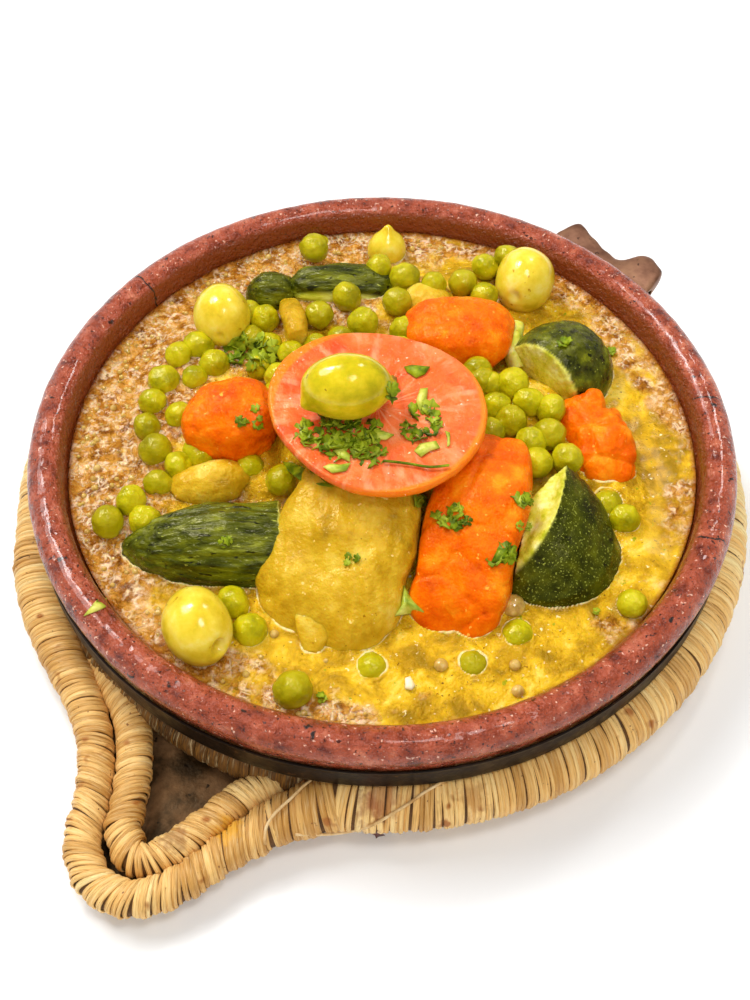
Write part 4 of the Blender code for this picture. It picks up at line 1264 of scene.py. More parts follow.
@dataclass
class PalmTrivet:
    """The woven trivet: an inner ring, the fat coil that becomes the handle, and the loop's coil.

    Attributes:
        floor: Height of the coils' undersides.
        ring: Path radius of the inner ring and its own radius.
        rim: Path radius of the outer coil and its own radius.
        rim_span: The outer coil's start and end in degrees.
        handle: Points and radius along the handle's outer coil.
        loop: Points and radius along the loop's inner coil.
        strip_sides: Points round a strip.
    """
    floor: float = 2.5
    ring: Flat = (102.5, 7.2)
    rim: Flat = (109.4, 9.2)
    rim_span: Flat = (-96.0, 188.0)
    handle: tuple[Point, ...] = (
        (-107.0, -33.0, 8.9), (-103.0, -48.0, 8.0), (-96.0, -63.0, 6.9), (-87.0, -79.0, 6.0), (-82.0, -93.0, 5.6),
        (-81.0, -108.0, 5.6), (-82.0, -121.0, 5.6), (-77.0, -132.0, 5.6), (-66.5, -136.5, 5.6),
        (-54.0, -132.5, 5.6), (-41.0, -122.5, 5.8), (-28.0, -114.5, 7.2))
    loop: tuple[Point, ...] = (
        (-88.0, -54.0, 5.6), (-80.0, -70.0, 5.6), (-73.0, -83.0, 5.6), (-70.5, -96.0, 5.5), (-70.5, -109.0, 5.5),
        (-71.0, -118.0, 5.5), (-66.0, -125.5, 5.5), (-58.5, -124.0, 5.5), (-49.0, -116.5, 5.5),
        (-38.0, -107.0, 5.5), (-27.0, -101.0, 5.5))
    strip_sides: int = 22

    def on_floor(self, flat: Sequence[np.ndarray]) -> list[np.ndarray]:
        """Gives each point of a coil the height at which the coil rests."""
        return [np.array((x, y, self.floor + r, r)) for x, y, r in flat]

    def arc(self, radius: float, own: float, start: float, end: float) -> list[np.ndarray]:
        """Points and radius along part of a circle."""
        count = int(abs(end - start) / 3)
        spots = [math.radians(start + (end - start) * i / count) for i in range(count + 1)]
        return [np.array((radius * math.cos(a), radius * math.sin(a), own)) for a in spots]

    def coils(self) -> list[Coil]:
        """The three coils."""
        ring = self.arc(*self.ring, 0.0, 357.0)
        outer = self.arc(*self.rim, *self.rim_span) + through(self.handle, 6)
        loop = through(self.loop, 6)
        # The inner ring under the dish takes the palm whose dark brown is painted shade.
        return [Coil("ring_coil", self.on_floor(ring), closed=True, lean_deg=6.0, strip=(2.6, 3.8),
                     finish=PALM_SHADED),
                Coil("outer_coil", self.on_floor(outer), closed=True, lean_deg=-7.0, handle_lean_deg=-24.0),
                Coil("loop_coil", self.on_floor(loop), lean_deg=11.0)]

    def strip_shape(self) -> Thing:
        """A band of unit radius and unit width, with its fibre directions stored on it."""
        section = ((-0.5, -0.12), (-0.44, -0.03), (0.0, 0.006), (0.44, -0.03), (0.5, -0.12))
        points, fibres = [], []
        for i in range(self.strip_sides):
            angle = math.tau * i / self.strip_sides
            for across, rise in section:
                r = 0.99 + rise
                points.append((r * math.cos(angle), r * math.sin(angle), across))
                fibres += [across * 7.0, math.cos(angle) * 1.2, math.sin(angle) * 1.2]
        band = piece_from("strip_shape", np.array(points) / MM, loft_faces(self.strip_sides, len(section), ring=True))
        band.data.attributes.new("fibre", "FLOAT_VECTOR", "POINT").data.foreach_set("vector", fibres)
        return band

    def build(self) -> list[Thing]:
        """Winds the strips round each coil.

        Returns:
            The strips of each coil.
        """
        draw = random.Random(4)
        pieces = []
        for coil in self.coils():
            winding = Scatter("palm_strips", tilt_deg=2.2, seed=len(pieces) + 3)
            # Each coil's core is painted dark as the shade in the gaps between its strips.
            pieces.append((coil.tube(coil.name + "_core", PALM_CORE, 2.5, inset=1.0),
                           winding.laid(coil.name + "_strips", self.strip_shape(), coil.strips(draw),
                                        material(coil.finish))))
        for number, (core, strips) in enumerate(pieces):
            declare(core, Slot.PALM)
            declare(strips, Slot.PALM, *(("trivet",) if number == 1 else ()))
        return [strips for _, strips in pieces]


@dataclass
class LeatherBase:
    """The worn leather panel under the coils.

    Attributes:
        voxel: The size of its faces.
    """
    voxel: float = 1.3

    def build(self) -> None:
        """Makes a soft, slightly buckled copy of the panel."""
        panel = node_copy("leather_base", self.voxel, 2, sink=0.0)
        panel.name = "leather_panel"

        def buckle(points: np.ndarray, normals: np.ndarray) -> np.ndarray:
            """The move at each point of the upper face."""
            upper = smoothstep(points[:, 2], 1.1, 2.0)
            return -0.5 * upper * (0.5 + wavering(points / 14.0))

        rippled(panel, (), buckle)
        declare(dress(panel, LEATHER), Slot.LEATHER, "leather_base")


@dataclass
class StewBroth:
    """The broth and the soft bed of the heap, as one surface over the bowl.

    Attributes:
        radius: The broth's radius at its surface.
        below: Radius and height of its underside.
        swellings: Centre and half sizes of each rise of the bed.
        cells: Cells across the surface.
    """
    radius: float = 98.0
    below: tuple[Flat, ...] = ((96.6, 29.5), (93.2, 24.3), (85.4, 14.4), (69.5, 9.9), (30.0, 9.2))
    swellings: tuple[tuple[Point, Point], ...] = (
        ((-2.0, 0.0, 30.0), (33.0, 30.0, 24.5)), ((-56.0, 14.0, 31.0), (26.0, 46.0, 5.6)),
        ((-70.0, -24.0, 31.0), (13.0, 13.0, 4.6)), ((5.0, 60.0, 31.0), (49.0, 21.0, 6.4)),
        ((36.0, 70.0, 31.0), (18.0, 14.0, 5.2)), ((42.0, 4.0, 31.0), (22.0, 26.0, 10.0)),
        ((64.0, -18.0, 31.0), (18.0, 13.0, 5.0)), ((-37.0, -10.0, 31.0), (15.0, 12.0, 6.0)),
        ((-18.0, 36.0, 31.0), (28.0, 19.0, 6.0)))
    cells: int = 288

    def disc(self) -> np.ndarray:
        """Points of a square grid drawn out to a disc of even cells."""
        side = np.linspace(-1, 1, self.cells + 1)
        u, v = np.meshgrid(side, side)
        wide = np.abs(u) > np.abs(v)
        with np.errstate(divide="ignore", invalid="ignore"):
            angle = np.where(wide, math.pi / 4 * v / u, math.pi / 2 - math.pi / 4 * u / v)
        reach = np.where(wide, u, v)
        angle = np.nan_to_num(angle)
        return np.stack([reach * np.cos(angle), reach * np.sin(angle)], -1) * self.radius

    def heights(self, flat: np.ndarray) -> np.ndarray:
        """Height of the bed or the broth over each point."""
        x, y = flat[..., 0], flat[..., 1]
        height = np.full(x.shape, SAUCE_LEVEL)
        for (cx, cy, cz), (a, b, c) in self.swellings:
            inside = 1 - ((x - cx) / a) ** 2 - ((y - cy) / b) ** 2
            height = np.maximum(height, np.where(inside > 0, cz + c * np.sqrt(np.maximum(inside, 0)), 0))
        for _ in range(5):
            padded = np.pad(height, 1, mode="edge")
            height = (padded[:-2, 1:-1] + padded[2:, 1:-1] + padded[1:-1, :-2] + padded[1:-1, 2:] + 2 * height) / 6
        return height

    def lumps(self, flat: np.ndarray, size: float, seed: float) -> np.ndarray:
        """Smooth noise over each point, seen from above."""
        x, y = flat[..., 0].ravel(), flat[..., 1].ravel()
        return wavering(np.stack([x / size, y / size, np.full(x.shape, seed)], 1)).reshape(flat.shape[:-1])

    def relief(self, flat: np.ndarray, foam: np.ndarray) -> np.ndarray:
        """Lumps in the broth, rougher in the foam."""
        coarse, fine = self.lumps(flat, 7.5, 3.0), self.lumps(flat, 2.8, 8.0)
        return coarse * (0.25 + 0.35 * foam) + fine * (0.05 + 0.22 * foam)

    def foam(self, flat: np.ndarray) -> np.ndarray:
        """How foamy the broth is: most at the left, the back and the right rim, least at the near right."""
        x, y = flat[..., 0], flat[..., 1]
        radius = np.hypot(x, y)
        toward = np.cos(np.arctan2(y, x) - math.radians(152))
        wander = self.lumps(flat, 17.0, 5.0) + 0.5 * self.lumps(flat, 6.0, 1.0)
        rim = (0.3 + 0.45 * smoothstep(x, 45, 80)) * smoothstep(radius, 80, 92)
        return np.clip(0.38 + 0.6 * toward * smoothstep(radius, 30, 80) + rim + 0.4 * wander, 0, 1)

    def climb(self, flat: np.ndarray, food: Sequence[Thing]) -> np.ndarray:
        """How near each point is to the foot of some food, from 1 at the foot to 0 away from it.

        Args:
            flat: The surface's points, seen from above.
            food: The pieces that stand in the broth.

        Returns:
            The nearness.
        """
        points = flat.reshape(-1, 2)
        near = np.full(len(points), 9.0)
        depsgraph = bpy.context.evaluated_depsgraph_get()
        reach = 3.0
        for piece in food:
            tree = BVHTree.FromObject(piece, depsgraph)
            corners = np.array([tuple(v.co) for v in piece.data.vertices])[:, :2] / MM
            low, high = corners.min(0) - reach, corners.max(0) + reach
            for i in np.nonzero(((points > low) & (points < high)).all(1))[0].tolist():
                spot = Vector((points[i, 0], points[i, 1], SAUCE_LEVEL + 0.4)) * MM
                away = tree.find_nearest(spot, reach * MM)[3]
                if away is not None:
                    near[i] = min(near[i], away / MM)
        return np.exp(-near / 0.8).reshape(flat.shape[:2])

    def build(self, food: Sequence[Thing]) -> Thing:
        """Makes the broth.

        Args:
            food: The pieces that stand in it, at whose feet it climbs a little.

        Returns:
            The broth's object.
        """
        flat = self.disc()
        foam = self.foam(flat)
        foot = self.climb(flat, food)
        height = self.heights(flat) + self.relief(flat, foam) + 0.9 * foot
        edge = smoothstep(np.hypot(flat[..., 0], flat[..., 1]), self.radius - 2.5, self.radius)
        height += 0.7 * edge
        top = np.concatenate([flat, height[..., None]], -1).reshape(-1, 3)
        grid = np.arange(len(top)).reshape(self.cells + 1, -1)
        faces = np.stack([grid[:-1, :-1], grid[:-1, 1:], grid[1:, 1:], grid[1:, :-1]], -1).reshape(-1, 4).tolist()
        border = np.concatenate([grid[0], grid[1:, -1], grid[-1, -2::-1], grid[-2:0:-1, 0]]).tolist()
        points, previous = [top], border
        start = len(top)
        for r, z in self.below:
            ring = top[border].copy()
            ring[:, :2] *= (r / self.radius)
            ring[:, 2] = z
            points.append(ring)
            current = list(range(start, start + len(border)))
            faces += [(previous[i], previous[(i + 1) % len(border)], current[(i + 1) % len(border)], current[i])
                      for i in range(len(border))]
            previous, start = current, start + len(border)
        faces.append(tuple(previous))
        broth = piece_from("stew_broth", np.concatenate(points), faces)
        mark(broth, "foam", lambda p, _: self.foam(p[:, :2]))
        # The foot attribute drives the broth's painted highlight round the food.
        mark(broth, "foot", lambda p, _: np.concatenate([foot.ravel(), np.zeros(len(p) - foot.size)]))
        declare(dress(broth, BROTH), Slot.SAUCE, "sauce")
        return broth


@dataclass(frozen=True)
class Bar:
    """A length of vegetable, lofted through stations.

    Attributes:
        name: The CAD node that it stands for.
        finish: Its finish.
        slot: The record's slot.
        power: From 2 for round to higher for squarer sections.
        stations: Centre, half width and half height along it.
        waves: Unevenness of its surface.
        flesh: A point on each cut face, the face's normal, and how far the skin's edge spreads.
        folds: Distance and depth of the creases where it has broken, or zeros.
        voxel: The size of its faces.
        passes: Rounds of smoothing.
        own_node: Whether a CAD node of its name stands behind it.
    """
    name: str
    finish: Finish
    slot: Slot
    power: float
    stations: tuple[tuple[float, float, float, float, float], ...]
    waves: tuple[Wave, ...]
    flesh: tuple[tuple[Point, Point, float], ...] = ()
    folds: Flat = (0.0, 0.0)
    voxel: float = 0.75
    passes: int = 4
    own_node: bool = True

    def build(self) -> Thing:
        """Makes the length of vegetable.

        Returns:
            The object.
        """
        sides = 28
        stations = through(self.stations, 4)
        rows = []
        for i, station in enumerate(stations):
            before, after = stations[max(i - 1, 0)][:3], stations[min(i + 1, len(stations) - 1)][:3]
            heading = Vector(after - before)
            across = Vector((heading.y, -heading.x, 0)).normalized()
            up = across.cross(heading).normalized()
            for k in range(sides):
                c, s = squared(math.tau * k / sides, 2 / self.power)
                rows.append(Vector(station[:3]) + across * (c * station[3]) + up * (s * station[4]))
        faces = loft_faces(len(stations), sides) + [tuple(range(sides)), tuple(range(len(rows) - sides, len(rows)))]
        body = remeshed(piece_from(self.name + "_look", rows, faces), self.voxel, self.passes)
        return finished(body, (self.name,) if self.own_node else (), self)


def finished(body: Thing, nodes: Sequence[str], piece: "Bar | CopiedPiece") -> Thing:
    """Args:
        body: The piece's mesh.
        nodes: The CAD nodes that it stands for.
        piece: Its finish, slot, waves, cut faces and folds.

    Returns:
        The piece.
    """
    def cut(points: np.ndarray, normals: np.ndarray) -> np.ndarray:
        """How far each point is cut flesh, from 0 to 1."""
        result = np.zeros(len(points))
        for point, normal, spread in piece.flesh:
            n = np.array(Vector(normal).normalized())
            depth = (points - np.array(point)) @ n
            result = np.maximum(result, smoothstep(depth, -spread, 0.0) * smoothstep(normals @ n, 0.45, 0.75))
        return result

    def creases(points: np.ndarray, normals: np.ndarray) -> np.ndarray:
        """The move at each point for the creases of a broken piece."""
        size, depth = piece.folds
        gaps = [noise.voronoi(p)[0] for p in (points / size).tolist()]
        return np.array([-depth * math.exp((near[0] - near[1]) / 0.09) for near in gaps])

    if piece.flesh:
        mark(body, "flesh", cut)
    rippled(body, piece.waves, creases if piece.folds[1] else None)
    declare(dress(body, piece.finish), piece.slot, *nodes)
    return body


# Pieces of vegetable, as stations along them: x, y, z, half width and half height
POTATO_WAVES = (Wave(11.0, 1.2, 2.0), Wave(4.0, 0.35, 5.0))
CARROT_WAVES = (Wave(14.0, 1.1, 4.0), Wave(4.0, 0.2, 7.0))
BROKEN_WAVES = (Wave(8.0, 1.5, 4.0), Wave(3.4, 0.55, 7.0), Wave(1.6, 0.2, 2.0))
BARS = (
    Bar("potato_wedge", POTATO, Slot.POTATO, 2.7, (
        (-5.0, -18.0, 45.0, 12.0, 5.5), (-6.0, -22.0, 45.5, 17.0, 8.5), (-8.0, -34.0, 42.8, 19.5, 10.0),
        (-12.5, -47.0, 38.0, 21.5, 10.0), (-16.5, -58.5, 33.0, 22.0, 9.5), (-19.5, -64.5, 29.5, 17.5, 7.0),
        (-22.0, -69.0, 27.0, 9.0, 4.0)), POTATO_WAVES + (Wave((2.6, 12.0, 12.0), 0.6, 9.0),), passes=3),
    Bar("carrot_front", CARROT, Slot.CARROT, 5.0, (
        (33.5, -11.0, 44.0, 8.0, 6.5), (32.5, -15.0, 45.0, 12.5, 9.5), (29.5, -27.0, 43.5, 14.5, 11.0),
        (26.0, -41.0, 39.0, 14.5, 11.0), (23.0, -54.0, 34.0, 14.0, 10.0), (21.0, -61.5, 30.5, 13.0, 8.0),
        (20.0, -67.0, 28.0, 8.0, 5.0)), CARROT_WAVES, folds=(22.0, 0.8), voxel=0.6, passes=1),
    Bar("carrot_left", CARROT, Slot.CARROT, 3.0, (
        (-58.0, 3.0, 35.5, 6.0, 6.0), (-55.0, 3.0, 37.5, 11.0, 10.5), (-47.0, 3.5, 39.5, 13.5, 11.5),
        (-39.0, 5.0, 40.5, 12.5, 10.0), (-35.0, 6.0, 40.5, 8.0, 7.0)), BROKEN_WAVES, voxel=0.55, passes=2),
    Bar("carrot_back", CARROT, Slot.CARROT, 3.6, (
        (12.5, 41.0, 37.0, 7.0, 7.0), (15.0, 41.0, 38.5, 11.5, 11.0), (25.5, 40.5, 39.0, 13.0, 11.5),
        (35.0, 40.0, 38.0, 11.5, 10.5), (38.5, 39.5, 36.0, 7.0, 7.5)),
        (Wave(14.0, 0.8, 4.0), Wave(3.0, 0.35, 7.0)), voxel=0.55, passes=2),
    Bar("carrot_right", CARROT, Slot.CARROT, 2.6, (
        (67.5, 16.0, 37.0, 2.5, 5.0), (66.0, 12.5, 37.0, 6.0, 8.0), (64.0, 8.5, 36.0, 10.0, 8.5),
        (67.5, 1.0, 35.5, 10.0, 9.0), (69.5, -6.0, 34.5, 10.0, 8.0), (70.5, -12.0, 32.5, 8.0, 6.0),
        (70.5, -14.5, 31.5, 5.0, 4.0)), BROKEN_WAVES, folds=(16.0, 0.9), voxel=0.55, passes=2),
    Bar("zucchini_left", ZUCCHINI_WRINKLED, Slot.ZUCCHINI, 2.0, (
        (-77.0, -40.5, 31.0, 2.0, 2.5), (-73.0, -40.0, 31.5, 6.0, 7.0), (-65.0, -39.5, 31.5, 10.5, 11.5),
        (-53.0, -39.5, 31.5, 13.5, 14.5), (-40.0, -39.0, 31.5, 14.0, 15.0), (-29.5, -38.0, 31.5, 14.0, 15.0)),
        (Wave((16.0, 2.2, 2.2), 0.75, 2.0), Wave((5.0, 1.2, 1.2), 0.3, 6.0), Wave(12.0, 0.7, 8.0)),
        (((-30.5, -38.0, 31.5), (1.0, 0.0, 0.1), 1.0),), voxel=0.6, passes=2),
    Bar("zucchini_back_mid", ZUCCHINI_WRINKLED, Slot.ZUCCHINI, 2.0, (
        (-30.5, 66.0, 34.0, 3.5, 4.0), (-27.0, 66.0, 35.0, 7.0, 8.0), (-14.0, 67.0, 35.5, 8.0, 9.0),
        (-2.0, 67.0, 34.5, 7.0, 7.5), (4.5, 67.0, 33.5, 3.0, 4.0)),
        (Wave((9.0, 2.4, 2.4), 0.7, 3.0), Wave(10.0, 0.8, 4.0)),
        (((-14.0, 60.5, 35.0), (0.0, -1.0, -0.25), 1.5),), passes=2),
    Bar("potato_strip", POTATO, Slot.POTATO, 3.0, (
        (-32.0, 58.0, 35.0, 3.6, 4.0), (-31.0, 52.0, 38.0, 4.0, 4.4), (-29.0, 43.0, 40.0, 4.0, 4.4),
        (-28.0, 38.0, 41.0, 3.0, 3.5)), POTATO_WAVES),
    Bar("potato_crumb", POTATO, Slot.POTATO, 2.4, (
        (9.0, 61.0, 35.0, 3.0, 3.5), (12.0, 60.0, 37.0, 7.0, 5.5), (18.0, 57.0, 37.0, 7.0, 5.5),
        (21.5, 55.0, 36.0, 3.5, 3.5)), POTATO_WAVES),
    Bar("potato_flap", POTATO, Slot.POTATO, 2.6, (
        (-18.0, -62.0, 36.5, 6.5, 0.9), (-18.5, -66.0, 36.5, 6.0, 1.1), (-19.0, -70.0, 34.5, 4.6, 1.2),
        (-19.5, -73.5, 32.0, 2.6, 1.2)), (Wave(6.0, 0.5, 3.0),), voxel=0.45, passes=1, own_node=False),
    Bar("flesh_sliver", PALE_FLESH, Slot.ZUCCHINI, 2.6, (
        (45.0, 47.5, 37.0, 2.4, 3.0), (43.6, 43.0, 39.0, 2.8, 4.0), (42.6, 37.0, 38.0, 2.8, 4.6),
        (44.0, 32.0, 34.5, 2.4, 3.0)), (Wave(4.0, 0.5, 3.0),), voxel=0.5, passes=2, own_node=False),
)


@dataclass(frozen=True)
class CopiedPiece:
    """A vegetable piece whose look is a refined copy of its CAD node.

    Attributes:
        name: The CAD node that it stands for.
        finish: Its finish.
        slot: The record's slot.
        waves: Unevenness of its surface.
        flesh: A point on each cut face, the face's normal, and how far the skin's edge spreads.
        folds: Distance and depth of its creases, or zeros.
        push: How far the first cut face moves out, how much more for each millimetre up, and how deep behind it
            the move ends.
        rise: How much taller it is over the broth.
        voxel: The size of its faces.
        passes: Rounds of smoothing.
    """
    name: str
    finish: Finish
    slot: Slot
    waves: tuple[Wave, ...]
    flesh: tuple[tuple[Point, Point, float], ...] = ()
    folds: Flat = (0.0, 0.0)
    push: Point = (0.0, 0.0, 1.0)
    rise: float = 1.0
    voxel: float = 0.65
    passes: int = 3

    def build(self) -> Thing:
        """Makes the piece."""
        body = node_copy(self.name, self.voxel, self.passes)
        if self.push[0]:
            point, normal = (Vector(v) for v in self.flesh[0][:2])
            outward = normal.xy.normalized().to_3d()
            for vert in body.data.vertices:
                up = max(vert.co.z - SAUCE_LEVEL * MM, 0.0)
                behind = (point - vert.co / MM).dot(outward) / self.push[2]
                vert.co += outward * (self.push[0] * MM + self.push[1] * up) * min(max(1 - behind, 0.0), 1.0)
                vert.co.z += up * (self.rise - 1)
        return finished(body, (self.name,), self)


COPIES = (
    CopiedPiece("zucchini_front_right", ZUCCHINI_DARK, Slot.ZUCCHINI,
                (Wave(9.0, 0.6, 1.0), Wave(2.2, 0.22, 2.0)),
                (((34.5, -49.5, 34.0), (-0.77, 0.17, 0.62), 1.4),), passes=2),
    CopiedPiece("zucchini_back_right", ZUCCHINI_STREAKED, Slot.ZUCCHINI,
                (Wave(9.0, 0.6, 1.0), Wave(2.2, 0.22, 2.0)),
                (((55.1, 28.2, 32.3), (-0.70, -0.69, 0.18), 1.2),), push=(4.5, 0.3, 16.0), rise=1.3, passes=2),
    CopiedPiece("zucchini_back_left", ZUCCHINI_WRINKLED, Slot.ZUCCHINI,
                (Wave(6.0, 0.8, 1.0), Wave(2.2, 0.25, 2.0))),
    CopiedPiece("potato_chunk", POTATO, Slot.POTATO, POTATO_WAVES),
)


@dataclass(frozen=True)
class Olive:
    """A pitted or whole green olive.

    Attributes:
        name: The CAD node that it stands for.
        centre: Its centre.
        half: Its half sizes.
        turn: Its turn about Z in degrees.
        end: Direction of its stem end.
        hole: Radius of the pit hole there, or of the dimple.
        depth: Depth of the hole or dimple.
        nubs: Direction, height and width in radians of each pointed end.
        finish: Its finish.
    """
    name: str
    centre: Point
    half: Point
    turn: float
    end: Point
    hole: float = 1.6
    depth: float = 0.9
    nubs: tuple[tuple[Point, float, float], ...] = ()
    finish: Finish = OLIVE

    def build(self) -> Thing:
        """Makes the olive.

        Returns:
            The object.
        """
        around, along = 72, 48
        points = []
        turn = Matrix.Rotation(math.radians(self.turn), 3, "Z")
        end = Vector(self.end).normalized()
        basis = end.to_track_quat("Z", "Y").to_matrix()
        for i in range(1, along):
            theta = math.pi * (1 - (1 - i / along) ** 1.25)
            for j in range(around):
                phi = math.tau * j / around
                unit = Vector((math.sin(theta) * math.cos(phi), math.sin(theta) * math.sin(phi), math.cos(theta)))
                points.append(self.shaped(basis @ unit, end, turn))
        points += [self.shaped(end, end, turn), self.shaped(-end, end, turn)]
        olive = piece_from(self.name + "_look", points, capped_faces(along - 1, around))
        rippled(olive, (Wave(9.0, 0.35, self.turn), Wave(3.0, 0.06, 2.0)))
        declare(dress(olive, self.finish), Slot.OLIVE, self.name)
        return olive

    def shaped(self, unit: Vector, end: Vector, turn: Matrix) -> Vector:
        """A point of the olive's surface from its direction."""
        body = turn @ Vector([u * h for u, h in zip(turn.transposed() @ unit, self.half)])
        off = unit.angle(end) * sum(self.half) / 3
        sunk = self.depth * (1 - min(off / (self.hole * 1.5), 1.0) ** 2) ** 2 if off < self.hole * 1.5 else 0.0
        raised = sum((Vector(to).normalized() * height * math.exp(-(unit.angle(Vector(to)) / width) ** 2)
                      for to, height, width in self.nubs), Vector())
        return Vector(self.centre) + body - end * sunk + raised


OLIVES = (
    Olive("olive_back_left", (-54.0, 50.0, 39.0), (9.4, 11.5, 10.2), 12.0, (0.0, -0.98, 0.18), 1.4, 1.2),
    Olive("olive_back", (1.0, 87.5, 34.5), (6.8, 6.8, 7.0), 0.0, (0.6, -0.6, -0.4), 1.2, 0.5,
          (((0.05, 0.25, 1.0), 2.6, 0.34),)),
    Olive("olive_back_right", (48.0, 67.0, 40.0), (10.0, 11.5, 11.0), -15.0, (-0.37, -0.9, 0.23), 1.7, 1.8),
    Olive("olive_front_left", (-51.5, -69.0, 38.0), (9.8, 12.0, 10.3), 24.0, (0.67, -0.69, 0.28), 2.1, 5.5),
    Olive("tomato_olive", (-10.5, -7.6, 70.4), (13.2, 9.8, 9.6), 4.0, (-0.2, 0.2, 1.0), 1.0, 0.15,
          (((1.0, 0.0, -0.1), 1.6, 0.3), ((-0.85, -0.45, -0.3), 1.5, 0.2), ((-0.9, -0.2, -0.45), 1.0, 0.22)),
          OLIVE_GREEN),
)


@dataclass
class TomatoSlice:
    """The slice of tomato on top of the heap.

    Attributes:
        centre: Its centre.
        radius: Its mean radius.
        lobes: Harmonic, cosine and sine terms of its outline.
        bottom: Its underside.
        top: Its upper face.
        steps: Points round it.
    """
    centre: Flat = (-1.5, -6.5)
    radius: float = 31.8
    lobes: tuple[tuple[int, float, float], ...] = ((2, 0.9, -1.7), (3, 0.1, 0.9))
    bottom: float = 56.9
    top: float = 60.2
    steps: int = 240

    def outline(self, angle: float) -> float:
        """The slice's radius in a direction."""
        return self.radius + sum(a * math.cos(k * angle) + b * math.sin(k * angle) for k, a, b in self.lobes)

    def build(self) -> Thing:
        """Makes the slice, its flesh a little sunk between the ribs.

        Returns:
            The object.
        """
        rim = [(1.0, self.top - 0.25), (1.012, self.top - 0.9), (1.012, self.bottom + 1.2), (0.995, self.bottom + 0.3)]
        section = [(s / 44, self.top) for s in range(1, 44)] + rim + [(s / 16, self.bottom) for s in range(15, 0, -1)]
        points = []
        for share, z in section:
            for i in range(self.steps):
                angle = math.tau * i / self.steps
                r = self.outline(angle) * share - (0.6 if share > 0.99 else 0.0)
                x, y = self.centre[0] + r * math.cos(angle), self.centre[1] + r * math.sin(angle)
                points.append((x, y, z))
        points += [(*self.centre, self.top), (*self.centre, self.bottom)]
        body = piece_from("tomato_slice_look", points, capped_faces(len(section), self.steps))

        def ribs(points: np.ndarray, normals: np.ndarray) -> np.ndarray:
            """The move at each point for the hollows between the ribs."""
            x, y = points[:, 0] - self.centre[0], points[:, 1] - self.centre[1]
            r, a = np.hypot(x, y) / self.radius, np.arctan2(y, x)
            upper = smoothstep(points[:, 2], self.top - 0.5, self.top)
            hollow = smoothstep(r, 0.25, 0.45) * (1 - smoothstep(r, 0.7, 0.85)) * (0.5 + 0.5 * np.cos(5 * a + 0.6))
            return -0.55 * upper * hollow

        rippled(body, (Wave((11.0, 11.0, 30.0), 0.3), Wave((2.6, 2.6, 5.0), 0.12, 2.0)), ribs)
        declare(dress(body, TOMATO), Slot.TOMATO, "tomato_slice")
        return body


# Peas, by the pixels at which the photograph shows them, and the height of their middles
SEEN_PEAS = (
    (30.6, ((372, 669), (318, 247), (472, 667), (517, 637))),
    (36.0, ((249, 313), (265, 319), (199, 346), (179, 356), (214, 365), (164, 381), (195, 379), (153, 402), (179, 416),
            (147, 427), (253, 339), (270, 346), (260, 369), (199, 453), (155, 450), (179, 466), (158, 484), (131, 501),
            (145, 521), (250, 468), (282, 481), (108, 522))),
    (40.0, ((314, 248), (319, 315), (347, 297), (363, 323), (378, 268), (405, 278), (434, 286), (463, 283), (485, 267),
            (508, 259), (484, 296), (397, 302), (405, 331))),
    (43.0, ((481, 381), (513, 384), (529, 402), (496, 407), (511, 421), (551, 410), (489, 433), (531, 443), (549, 435),
            (537, 463), (567, 459))),
    (34.0, ((607, 504), (624, 519), (250, 630), (233, 603))),
)
LARGE_PEAS = {"pea_front": ((293, 690), 5.6), "pea_right": ((632, 604), 4.4)}


@dataclass
class Peas:
    """The peas: those that the photograph shows, and more behind and under the tomato slice.

    Attributes:
        radius: Their mean radius.
        spread: How much the radius varies.
        behind: Rows hidden from the front, each from x, y to x, y with a count and a height.
    """
    radius: float = 4.95
    spread: float = 0.4
    behind: tuple[tuple[float, float, float, float, int, float], ...] = (
        (-30.0, 20.0, -14.0, 31.0, 3, 42.0), (-6.0, 33.0, 6.0, 32.0, 2, 42.0), (-24.0, 28.0, -2.0, 30.0, 3, 38.0),
        (30.0, 24.0, 34.0, 18.0, 2, 42.0), (-34.0, 14.0, -33.0, 22.0, 2, 40.0), (-14.0, 40.0, -30.0, 34.0, 3, 38.0))

    def shape(self) -> Thing:
        """A pea of unit radius, with a dimple at one pole and slack skin."""
        def slack(unit: Vector) -> Vector:
            """A point of the skin from its direction."""
            off = unit.angle(Vector((0, 0, 1)))
            fold = noise.noise(unit * 1.9) * 0.075 + noise.noise(unit * 4.5 + Vector((4, 4, 4))) * 0.035
            return unit * (1.0 + fold - 0.16 * math.exp(-(off / 0.22) ** 2))

        return ball("pea_shape", 4, slack)

    def build(self, camera: PhotoCamera) -> Thing:
        """Makes all the peas as one piece.

        Args:
            camera: The camera through which they are placed.

        Returns:
            The object.
        """
        draw = random.Random(11)
        spots = [(camera.seen_at(*pixel, height), None) for height, pixels in SEEN_PEAS for pixel in pixels]
        spots += [(camera.seen_at(*pixel, 34.6), radius) for pixel, radius in LARGE_PEAS.values()]
        for x0, y0, x1, y1, count, height in self.behind:
            for i in range(count):
                t = i / (count - 1)
                spots.append((Vector((x0 + (x1 - x0) * t, y0 + (y1 - y0) * t, height)), None))
        places = []
        for spot, own in spots:
            radius = own or self.radius + draw.uniform(-self.spread, self.spread)
            turn = [draw.uniform(0, math.tau) for _ in range(3)]
            places.append(Place(spot, turn, (radius, radius, radius * draw.uniform(0.88, 1.0)),
                                0.5 * draw.random() ** 2))
        peas = Scatter("peas", seed=5).laid("peas", self.shape(), places, material(PEA))
        declare(peas, Slot.PEA, "pea_heap", "pea_front", "pea_left_front", "pea_right", "pea_back")
        return peas


